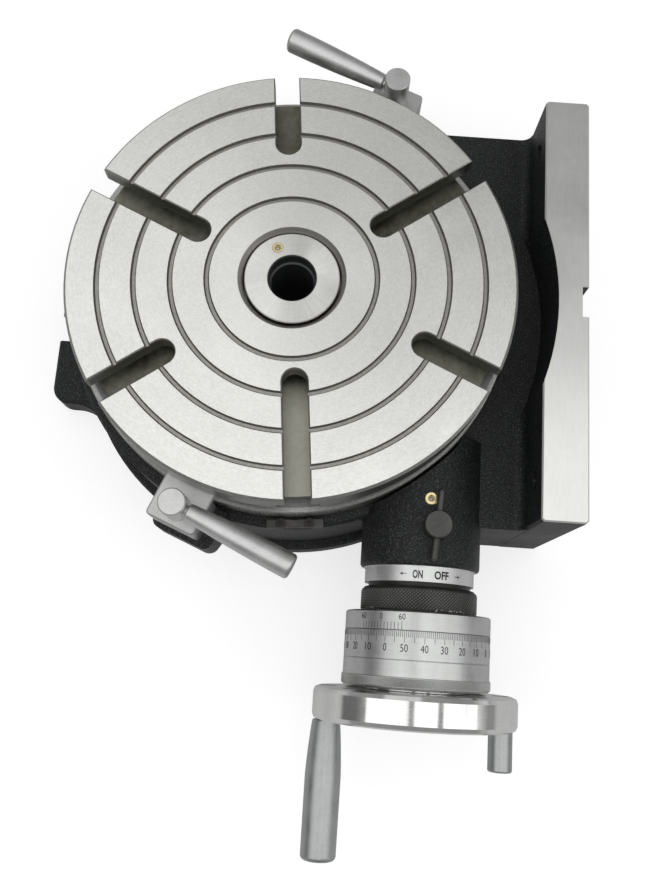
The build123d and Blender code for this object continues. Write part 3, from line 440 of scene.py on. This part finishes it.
strap_nickel = turned_metal(
    "matt nickel strap", (0.52, 0.525, 0.515), (0.68, 0.685, 0.675), 0.40, 0.50, None,
    2500, 60.0, 2500, cloud_size=90)
ring_oxide = turned_metal(
    "worn black oxide", (0.030, 0.030, 0.029), (0.062, 0.062, 0.060), 0.30, 0.42, worm_axis,
    4000, 4.0, 4000, metallic=0.6, chips=knurl_edge, points=(0.36, 0.36, 0.35))
black_oxide = turned_metal(
    "black oxide", (0.020, 0.019, 0.018), (0.050, 0.048, 0.045), 0.30, 0.42, worm_axis,
    4000, 4.0, 4000, metallic=0.6)
lock_black = turned_metal(
    "blackened lock screw", (0.060, 0.060, 0.058), (0.115, 0.113, 0.11), 0.34, 0.46, None,
    3000, 40.0, 3000, metallic=0.8)
oiler_brass = turned_metal(
    "oiler brass", (0.72, 0.60, 0.31), (0.86, 0.76, 0.47), 0.20, 0.28, None, 900, 30.0)
bronze = turned_metal(
    "wheel bronze", (0.45, 0.28, 0.11), (0.62, 0.42, 0.20), 0.30, 0.40, None)
plain_steel = turned_metal(
    "plain machined steel", (0.40, 0.40, 0.40), (0.55, 0.55, 0.55), 0.30, 0.42, worm_axis)
engraving = turned_metal(
    "engraved black", (0.015, 0.015, 0.015), (0.03, 0.03, 0.03), 0.5, 0.6, None, metallic=0.0)
print("materials:", len(bpy.data.materials))

# %% [markdown]
# Each CAD node takes one finish. The list below is the object's parts list, so a part that has no
# finish yet would show up as missing.

# %% Dress the CAD nodes
finishes = {
    casting: ["base_body"],
    table_steel: ["table_disc"],
    post_steel: ["centre_post"],
    dial_chrome: ["dial", "vernier_ring"],
    ring_chrome: ["on_off_ring"],
    wheel_polish: ["handwheel"],
    grip_steel: ["handle_grip"],
    peg_steel: ["short_handle"],
    lever_nickel: ["front_clamp_hub", "rear_clamp_hub", "front_clamp_lever", "rear_clamp_lever"],
    strap_nickel: ["front_clamp_strap", "rear_clamp_strap"],
    ring_oxide: ["knurled_ring"],
    black_oxide: ["eccentric_sleeve", "on_off_ring_screws", "handwheel_bolt",
                  "worm_wheel_screws", "index_plate_screws"],
    lock_black: ["lock_screw", "lock_bar", "index_plate"],
    oiler_brass: ["post_oiler", "body_oiler"],
    bronze: ["worm_wheel", "rear_bush", "front_bush"],
    plain_steel: ["post_nut", "post_oiler_ball", "body_oiler_ball", "front_clamp_stud", "rear_clamp_stud",
                  "thrust_washers", "bearing_nut", "worm_shaft", "handwheel_key", "handwheel_washer",
                  "handle_spindle", "dial_clip"]}
for material, names in finishes.items():
    for name in names:
        nodes[name].data.materials.clear()
        nodes[name].data.materials.append(material)
dressed = {name for names in finishes.values() for name in names}
print("dressed:", len(dressed), "missing:", sorted(set(nodes) - dressed))

# %% [markdown]
# What repeats is built with Geometry Nodes: a rule with named inputs instead of hundreds of objects.
# This helper starts such a rule, and the next runs it on an empty mesh, turns the result into a plain
# mesh and removes the modifier, because a finished piece is plain geometry.

# %% Helpers for Geometry Nodes
def start_rule(name, inputs):
    tree = bpy.data.node_groups.new(name, "GeometryNodeTree")
    tree.interface.new_socket("Geometry", in_out="INPUT", socket_type="NodeSocketGeometry")
    sockets = {}
    for label, kind, default in inputs:
        socket = tree.interface.new_socket(label, in_out="INPUT", socket_type=kind)
        if default is not None:
            socket.default_value = default
        sockets[label] = socket.identifier
    sockets["Material"] = tree.interface.new_socket(
        "Material", in_out="INPUT", socket_type="NodeSocketMaterial").identifier
    tree.interface.new_socket("Geometry", in_out="OUTPUT", socket_type="NodeSocketGeometry")
    return tree, tree.nodes.new("NodeGroupInput"), sockets


def end_rule(tree, enter, geometry):
    realize = tree.nodes.new("GeometryNodeRealizeInstances")
    paint = tree.nodes.new("GeometryNodeSetMaterial")
    leave = tree.nodes.new("NodeGroupOutput")
    tree.links.new(geometry, realize.inputs[0])
    tree.links.new(realize.outputs[0], paint.inputs["Geometry"])
    tree.links.new(enter.outputs["Material"], paint.inputs["Material"])
    tree.links.new(paint.outputs[0], leave.inputs[0])


def run_rule(name, rule, body, slot, **values):
    tree, sockets = rule
    holder = bpy.data.objects.new(name + "_rule", bpy.data.meshes.new(name + "_rule"))
    scene.collection.objects.link(holder)
    modifier = holder.modifiers.new("rule", "NODES")
    modifier.node_group = tree
    for label, value in values.items():
        modifier[sockets[label.replace("_", " ")]] = value
    graph = bpy.context.evaluated_depsgraph_get()
    mesh = bpy.data.meshes.new_from_object(holder.evaluated_get(graph), depsgraph=graph)
    mesh.name = name
    holder.modifiers.clear()
    bpy.data.objects.remove(holder)
    piece = bpy.data.objects.new(name, mesh)
    scene.collection.objects.link(piece)
    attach(piece, body)
    print(name, "has", len(mesh.polygons), "faces")
    return piece


print("rule helpers ready")

# %% [markdown]
# Graduations are short dark lines at even angles: every fifth is longer and every tenth longest.
# The rule makes points on a circle, measures each line's length from its number, and puts a thin bar
# on every point. It is written for a ring round Y, and turned and moved as a whole for other rings.

# %% Rule: graduation lines round a ring
def build_tick_rule():
    number, whole, vector = "NodeSocketFloat", "NodeSocketInt", "NodeSocketVector"
    tree, enter, sockets = start_rule("Graduation lines", [
        ("Count", whole, 10), ("First", number, 0.0), ("Step", number, 0.1), ("Radius", number, 0.04),
        ("Side", number, -1.0),
        ("Width", number, 0.0002), ("Depth", number, 0.0001), ("Short", number, 0.002),
        ("Middle", number, 0.003), ("Long", number, 0.004), ("Middle every", whole, 5),
        ("Long every", whole, 10), ("Turn", vector, None), ("Move", vector, None)])
    given = enter.outputs
    points = tree.nodes.new("GeometryNodePoints")
    tree.links.new(given["Count"], points.inputs["Count"])
    index = tree.nodes.new("GeometryNodeInputIndex").outputs[0]
    angle = calc(tree, "MULTIPLY_ADD", index, given["Step"], given["First"])
    is_long = calc(tree, "LESS_THAN", calc(tree, "MODULO", index, given["Long every"]), 0.5)
    is_middle = calc(tree, "LESS_THAN", calc(tree, "MODULO", index, given["Middle every"]), 0.5)
    length = calc(tree, "ADD", given["Short"], calc(
        tree, "MULTIPLY", is_middle, calc(tree, "SUBTRACT", given["Middle"], given["Short"])))
    length = calc(tree, "ADD", length, calc(
        tree, "MULTIPLY", is_long, calc(tree, "SUBTRACT", given["Long"], given["Middle"])))
    place = tree.nodes.new("ShaderNodeCombineXYZ")
    feed(tree, place.inputs[0], calc(tree, "MULTIPLY", calc(tree, "SINE", angle), given["Radius"]))
    feed(tree, place.inputs[1], calc(tree, "MULTIPLY", length, calc(tree, "MULTIPLY", given["Side"], 0.5)))
    feed(tree, place.inputs[2], calc(tree, "MULTIPLY", calc(tree, "COSINE", angle), given["Radius"]))
    tree.links.new(place.outputs[0], points.inputs["Position"])
    bar = tree.nodes.new("GeometryNodeMeshCube")
    bar.inputs["Size"].default_value = (1, 1, 1)
    turn = tree.nodes.new("ShaderNodeCombineXYZ")
    feed(tree, turn.inputs[1], angle)
    size = tree.nodes.new("ShaderNodeCombineXYZ")
    for socket, value in zip(size.inputs, (given["Width"], length, given["Depth"])):
        feed(tree, socket, value)
    copies = tree.nodes.new("GeometryNodeInstanceOnPoints")
    tree.links.new(points.outputs[0], copies.inputs["Points"])
    tree.links.new(bar.outputs[0], copies.inputs["Instance"])
    tree.links.new(turn.outputs[0], copies.inputs["Rotation"])
    tree.links.new(size.outputs[0], copies.inputs["Scale"])
    whole_ring = tree.nodes.new("GeometryNodeTransform")
    tree.links.new(copies.outputs[0], whole_ring.inputs["Geometry"])
    tree.links.new(given["Turn"], whole_ring.inputs["Rotation"])
    tree.links.new(given["Move"], whole_ring.inputs["Translation"])
    end_rule(tree, enter, whole_ring.outputs[0])
    return tree, sockets


tick_rule = build_tick_rule()
print("rule:", tick_rule[0].name)

# %% [markdown]
# The dial has 240 lines, one for each minute of the table's turn, because the table moves 4 degrees
# for a turn of the worm. The numbers count down towards +X. The vernier beside it has six spaces
# on each side of its zero, and the table's flange carries 360 degree lines.

# %% Graduations on dial, vernier and flange
dial_edge = -185.3 * MM
vernier_edge = -185.1 * MM
dial_radius = 41.0 * MM
dial_zero = math.radians(-30.3)
minute = math.radians(1.5)
vernier_zero = math.radians(-34.4)
vernier_step = math.radians(2.78)
run_rule("dial_lines", tick_rule, "dial", "black_oxide", Count=240, First=dial_zero, Step=minute,
         Radius=dial_radius, Width=0.25 * MM, Depth=0.06 * MM, Short=3.2 * MM, Middle=6.1 * MM,
         Long=6.1 * MM, Move=(worm_axis.x, dial_edge - 0.2 * MM, worm_axis.z), Material=engraving)
run_rule("vernier_lines", tick_rule, "sleeve", "black_oxide", Count=13, First=vernier_zero + 6 * vernier_step,
         Step=-vernier_step, Side=1.0, Radius=dial_radius, Width=0.26 * MM, Depth=0.06 * MM, Short=3.7 * MM,
         Middle=4.7 * MM, Long=4.7 * MM, Middle_every=6, Long_every=6,
         Move=(worm_axis.x, vernier_edge + 0.1 * MM, worm_axis.z), Material=engraving)
run_rule("flange_lines", tick_rule, "table", "black_oxide", Count=360, First=0.0, Step=math.radians(1),
         Radius=flange_radius, Width=0.30 * MM, Depth=0.06 * MM, Short=3.0 * MM, Middle=4.5 * MM,
         Long=6.0 * MM, Turn=(math.pi / 2, 0, rest_turn), Move=(0, 0, flange_top - 0.8 * MM),
         Material=engraving)

# %% [markdown]
# Knurling is pressed into steel as two sets of slanting grooves, which leaves small diamonds. A flat
# grid is rolled into a ring, and each of its points is lifted by the smaller of two zigzag waves,
# one for each set. Four columns to a diamond are enough for its point and its valleys. The lift is
# kept as an attribute, so that the material can paint the points lighter than the valleys, partly as
# wear and partly as painted highlight.

# %% Rule: a diamond-knurled band
def build_knurl_rule():
    number, whole, vector = "NodeSocketFloat", "NodeSocketInt", "NodeSocketVector"
    tree, enter, sockets = start_rule("Diamond knurl", [
        ("Around", whole, 120), ("Rows", whole, 6), ("Radius", number, 0.03), ("Relief", number, 0.0004),
        ("Width", number, 0.01), ("Move", vector, None)])
    given = enter.outputs
    grid = tree.nodes.new("GeometryNodeMeshGrid")
    grid.inputs["Size X"].default_value = 1.0
    grid.inputs["Size Y"].default_value = 1.0
    feed(tree, grid.inputs["Vertices X"], calc(tree, "MULTIPLY_ADD", given["Around"], 4.0, 1.0))
    feed(tree, grid.inputs["Vertices Y"], calc(tree, "MULTIPLY_ADD", given["Rows"], 4.0, 1.0))
    here = tree.nodes.new("ShaderNodeSeparateXYZ")
    tree.links.new(tree.nodes.new("GeometryNodeInputPosition").outputs[0], here.inputs[0])
    along = calc(tree, "ADD", here.outputs[0], 0.5)
    across = calc(tree, "ADD", here.outputs[1], 0.5)
    column = calc(tree, "MULTIPLY", along, given["Around"])
    row = calc(tree, "MULTIPLY", across, given["Rows"])

    def zigzag(value):
        return calc(tree, "ABSOLUTE", calc(tree, "MULTIPLY_ADD", calc(tree, "FRACT", calc(
            tree, "ADD", value, 0.0001)), 2.0, -1.0))

    lift = calc(tree, "MINIMUM", zigzag(calc(tree, "ADD", column, row)), zigzag(calc(
        tree, "ADD", calc(tree, "SUBTRACT", column, row), 1000.0)))
    edge = calc(tree, "MINIMUM", ramp(tree, across, 0.0, 0.04), ramp(tree, across, 1.0, 0.96))
    raised = calc(tree, "MULTIPLY", lift, edge)
    radius = calc(tree, "MULTIPLY_ADD", raised, given["Relief"], given["Radius"])
    angle = calc(tree, "MULTIPLY", along, 2 * math.pi)
    place = tree.nodes.new("ShaderNodeCombineXYZ")
    feed(tree, place.inputs[0], calc(tree, "MULTIPLY", calc(tree, "SINE", angle), radius))
    feed(tree, place.inputs[1], calc(tree, "MULTIPLY", across, given["Width"]))
    feed(tree, place.inputs[2], calc(tree, "MULTIPLY", calc(tree, "COSINE", angle), radius))
    store = tree.nodes.new("GeometryNodeStoreNamedAttribute")
    store.data_type, store.domain = "FLOAT", "POINT"
    store.inputs["Name"].default_value = "lift"
    tree.links.new(grid.outputs[0], store.inputs["Geometry"])
    tree.links.new(raised, store.inputs["Value"])
    roll = tree.nodes.new("GeometryNodeSetPosition")
    tree.links.new(store.outputs[0], roll.inputs["Geometry"])
    tree.links.new(place.outputs[0], roll.inputs["Position"])
    close = tree.nodes.new("GeometryNodeMergeByDistance")
    close.inputs["Distance"].default_value = 1e-6
    tree.links.new(roll.outputs[0], close.inputs["Geometry"])
    shift = tree.nodes.new("GeometryNodeTransform")
    tree.links.new(close.outputs[0], shift.inputs["Geometry"])
    tree.links.new(given["Move"], shift.inputs["Translation"])
    end_rule(tree, enter, shift.outputs[0])
    return tree, sockets


knurl_rule = build_knurl_rule()
knurl_front = -174.7 * MM
dial_front = -215.5 * MM
run_rule("ring_knurl", knurl_rule, "sleeve", "black_oxide", Around=104, Rows=6, Radius=32.7 * MM,
         Relief=0.45 * MM, Width=11.0 * MM, Move=(worm_axis.x, knurl_front + 0.9 * MM, worm_axis.z),
         Material=ring_oxide)
run_rule("dial_knurl", knurl_rule, "dial", "satin_chrome", Around=190, Rows=4, Radius=41.52 * MM,
         Relief=0.25 * MM, Width=4.8 * MM, Move=(worm_axis.x, dial_front + 1.1 * MM, worm_axis.z),
         Material=dial_points)

# %% [markdown]
# Numbers are engraved on curved faces. Blender's text is flat, so each number becomes a thin mesh
# first, and every point of it is then bent round the ring: its distance across the text becomes an
# angle. All the numbers of one ring are joined into one piece.

# %% Helpers for lettering on rings
def letter_mesh(text, height, width, weight=0.0):
    """Text as a thin mesh, centred, with the given height and overall width."""
    curve = bpy.data.curves.new("letters", "FONT")
    curve.body = text
    curve.size = 1.0
    curve.offset = weight
    curve.extrude = 0.03 * MM
    curve.resolution_u = 3
    holder = bpy.data.objects.new("letters", curve)
    scene.collection.objects.link(holder)
    graph = bpy.context.evaluated_depsgraph_get()
    mesh = bpy.data.meshes.new_from_object(holder.evaluated_get(graph), depsgraph=graph)
    bpy.data.objects.remove(holder)
    xs, ys = [v.co.x for v in mesh.vertices], [v.co.y for v in mesh.vertices]
    wide, tall = width / (max(xs) - min(xs)), height / (max(ys) - min(ys))
    middle_x, middle_y = (max(xs) + min(xs)) / 2, (max(ys) + min(ys)) / 2
    points = [Vector(((v.co.x - middle_x) * wide, (v.co.y - middle_y) * tall, v.co.z)) for v in mesh.vertices]
    faces = [tuple(p.vertices) for p in mesh.polygons]
    bpy.data.meshes.remove(mesh)
    return points, faces


def arrow_mesh(length, sign):
    half, head = length / 2, 0.45 * length
    flat = [(-half, -0.17), (half - head, -0.17), (half - head, -0.75), (half, 0), (half - head, 0.75),
            (half - head, 0.17), (-half, 0.17)]
    flat = [(x * sign, y) for x, y in flat]
    if sign < 0:
        flat.reverse()
    points = [Vector((x, y, z)) * MM for z in (-0.03, 0.03) for x, y in flat]
    n = len(flat)
    faces = [tuple(range(n - 1, -1, -1)), tuple(range(n, 2 * n))]
    faces += [(i, (i + 1) % n, n + (i + 1) % n, n + i) for i in range(n)]
    return points, faces


def bend_round_y(points, angle, radius, y, axis):
    bent = []
    for p in points:
        turn, reach = angle + p.x / radius, radius + p.z + 0.03 * MM
        bent.append(Vector((axis.x + reach * math.sin(turn), y + p.y, axis.z + reach * math.cos(turn))))
    return bent


def bend_round_z(points, angle, radius, z):
    bent = []
    for p in points:
        turn, reach = angle + p.x / radius, radius + p.z + 0.03 * MM
        bent.append(Vector((reach * math.cos(turn), reach * math.sin(turn), z + p.y)))
    return bent


def join_letters(name, pieces, body):
    points, faces = [], []
    for some_points, some_faces in pieces:
        start = len(points)
        points += some_points
        faces += [tuple(start + i for i in face) for face in some_faces]
    mesh = bpy.data.meshes.new(name)
    mesh.from_pydata(points, [], faces)
    mesh.materials.append(engraving)
    piece = bpy.data.objects.new(name, mesh)
    scene.collection.objects.link(piece)
    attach(piece, body)
    print(name, "has", len(faces), "faces")
    return piece


# %% Numbers on dial, vernier and the ON and OFF ring
digits = {str(n): letter_mesh(str(n), 4.0 * MM, (1.9 if n == 0 else 4.1) * MM) for n in range(0, 60, 10)}
dial_numbers = []
for step in range(24):
    points, faces = digits[str(10 * (step % 6))]
    angle = dial_zero - step * math.radians(15)
    dial_numbers.append((bend_round_y(points, angle, dial_radius, dial_edge - 9.05 * MM, worm_axis), faces))
join_letters("dial_numbers", dial_numbers, "dial")

small = {"0": letter_mesh("0", 3.3 * MM, 1.6 * MM), "60": letter_mesh("60", 3.3 * MM, 3.6 * MM)}
vernier_numbers = []
for text, spaces in (("60", -6), ("0", 0), ("60", 6)):
    points, faces = small[text]
    angle = vernier_zero + spaces * vernier_step
    bent = bend_round_y(points, angle, dial_radius, vernier_edge + 6.9 * MM, worm_axis)
    vernier_numbers.append((bent, faces))
join_letters("vernier_numbers", vernier_numbers, "sleeve")

ring_radius = 31.3 * MM
ring_middle = -154.5 * MM
ring_marks = []
for text, degrees in (("ON", -7.6), ("OFF", 17.1)):
    points, faces = letter_mesh(text, 4.6 * MM, 2.8 * MM * len(text), 0.03)
    bent = bend_round_y(points, math.radians(degrees), ring_radius, ring_middle, ring_axis)
    ring_marks.append((bent, faces))
for sign, degrees in ((-1, -22.4), (1, 35.6)):
    points, faces = arrow_mesh(4.0, sign)
    bent = bend_round_y(points, math.radians(degrees), ring_radius, ring_middle + 0.1 * MM, ring_axis)
    ring_marks.append((bent, faces))
join_letters("ring_marks", ring_marks, "base")

# %% Degree numbers on the flange
flange_numbers = []
for tens in range(36):
    text = str(10 * tens)
    points, faces = letter_mesh(text, 3.4 * MM, 1.9 * MM * len(text))
    angle = rest_turn - math.pi / 2 + math.radians(10 * tens)
    flange_numbers.append((bend_round_z(points, angle, flange_radius, flange_top - 9.4 * MM), faces))
join_letters("flange_numbers", flange_numbers, "table")

# %% [markdown]
# The picture was taken on white, with soft light from all round. The floor is white, and where the
# camera sees it, a little of its own light lifts it to the paper white of the picture while the
# object's shadow still shows. Metal and glass see a small share of that light too, as much as the
# sides of the dial mirror in the picture. Far out, where the lamps fade, the lift is stronger.

# %% Floor
paper_lift = 0.66
mirrored_share = 0.1


def build_floor():
    material = bpy.data.materials.new("white paper floor")
    material.use_nodes = True
    tree = material.node_tree
    shader = tree.nodes["Principled BSDF"]
    shader.inputs["Base Color"].default_value = (0.60, 0.60, 0.60, 1)
    shader.inputs["Roughness"].default_value = 0.9
    path = tree.nodes.new("ShaderNodeLightPath").outputs
    mirrored = calc(tree, "MAXIMUM", path["Is Glossy Ray"], path["Is Transmission Ray"])
    mirrored = calc(tree, "MULTIPLY", mirrored, mirrored_share)
    shader.inputs["Emission Color"].default_value = (1, 1, 1, 1)
    distance = tree.nodes.new("ShaderNodeVectorMath")
    distance.operation = "LENGTH"
    tree.links.new(tree.nodes.new("ShaderNodeTexCoord").outputs["Object"], distance.inputs[0])
    lift = ramp(tree, distance.outputs["Value"], 1.0, 3.0, paper_lift, 1.0)
    seen = calc(tree, "MULTIPLY_ADD", path["Is Camera Ray"], lift, mirrored)
    tree.links.new(seen, shader.inputs["Emission Strength"])
    mesh = bpy.data.meshes.new("floor")
    reach = 6.0
    corners = [(-reach, -reach, 0), (reach, -reach, 0), (reach, reach, 0), (-reach, reach, 0)]
    mesh.from_pydata(corners, [], [(0, 1, 2, 3)])
    mesh.materials.append(material)
    floor = bpy.data.objects.new("floor", mesh)
    floor.location.z = cad_box[0].z - 0.0005
    scene.collection.objects.link(floor)
    return floor


floor = build_floor()
print("floor at", round(floor.location.z / MM, 2), "mm")

# %% [markdown]
# A polished rim mirrors its surroundings as bands, so the bands of the picture tell where its lamps
# stood. A spot that leans by an angle from the top mirrors what lies at twice that angle. Read that
# way, the rim shows long soft boxes over the handwheel's side with narrow dark gaps between them, and
# one softer panel over the far side. The room is plain grey. Metal and glass mirror it darker low on
# the left and paler on the right, as the rim does, and where the camera looks past the floor it is
# white.

# %% Room
room_grey = 0.27
world = bpy.data.worlds.new("studio")
scene.world = world
world.use_nodes = True
room = world.node_tree
sky = room.nodes["Background"]
sky.inputs["Color"].default_value = (1, 1, 1, 1)
direction = room.nodes.new("ShaderNodeTexCoord").outputs["Generated"]
split = room.nodes.new("ShaderNodeSeparateXYZ")
room.links.new(direction, split.inputs[0])
across = split.outputs[0]
dark_left = ramp(room, across, -0.90, -0.95, 0.0, -0.12)
pale_right = ramp(room, across, 0.78, 0.86, 0.0, 0.32)
pale_right = calc(room, "MULTIPLY", pale_right, ramp(room, across, 0.985, 0.94))
path = room.nodes.new("ShaderNodeLightPath").outputs
mirrored = calc(room, "MAXIMUM", path["Is Glossy Ray"], path["Is Transmission Ray"])
walls = calc(room, "MULTIPLY", calc(room, "ADD", dark_left, pale_right), mirrored)
white = calc(room, "MULTIPLY_ADD", path["Is Camera Ray"], 1.0 - room_grey, room_grey)
room.links.new(calc(room, "ADD", walls, white), sky.inputs["Strength"])
print("room:", world.name, "grey", room_grey)

# %% Light: strips over the front, soft panels over the rear
def add_panel(name, place, target, width, height, power):
    lamp = bpy.data.lights.new(name, "AREA")
    lamp.shape, lamp.size, lamp.size_y, lamp.energy = "RECTANGLE", width, height, power
    panel = bpy.data.objects.new(name, lamp)
    panel.location = place
    panel.rotation_euler = (Vector(target) - Vector(place)).to_track_quat("-Z", "Y").to_euler()
    scene.collection.objects.link(panel)
    return panel


lamp_height = 1.5
for name, left, right, rear, front, glow in (
        ("left strip", -2.30, -0.21, 0.0, -1.2, 0.95),
        ("middle strip", -0.06, 0.585, 0.0, -1.2, 1.1),
        ("right strip", 0.756, 1.80, 0.0, -1.2, 1.1),
        ("far strip", 1.82, 3.20, 0.0, -1.2, 0.8),
        ("rear left panel", -1.30, -0.02, 0.75, 0.02, 0.72),
        ("rear right panel", 0.02, 1.10, 0.42, 0.02, 0.90),
        ("back panel", -1.30, 0.15, 1.70, 0.80, 0.38)):
    centre = ((left + right) / 2, (rear + front) / 2, lamp_height)
    area = (right - left) * (rear - front)
    add_panel(name, centre, (centre[0], centre[1], 0), right - left, rear - front, glow * area * math.pi)

# %% [markdown]
# The camera stands where the photographer's did, half a metre above the table and a little in front
# of it. Place, angles and lens were fitted to points whose size is known.

# %% Camera
lens = bpy.data.cameras.new("camera")
lens.sensor_width = 36.0
lens.lens = 35.611
camera = bpy.data.objects.new("camera", lens)
camera.location = Vector((28.168, -197.030, 578.931)) * MM
camera.rotation_euler = Euler([math.radians(a) for a in (12.8352, -1.0205, 3.6513)])
lens.clip_start = 0.01
scene.collection.objects.link(camera)
scene.camera = camera
scene.view_settings.view_transform = "Standard"
print("camera at", [round(v / MM) for v in camera.location])
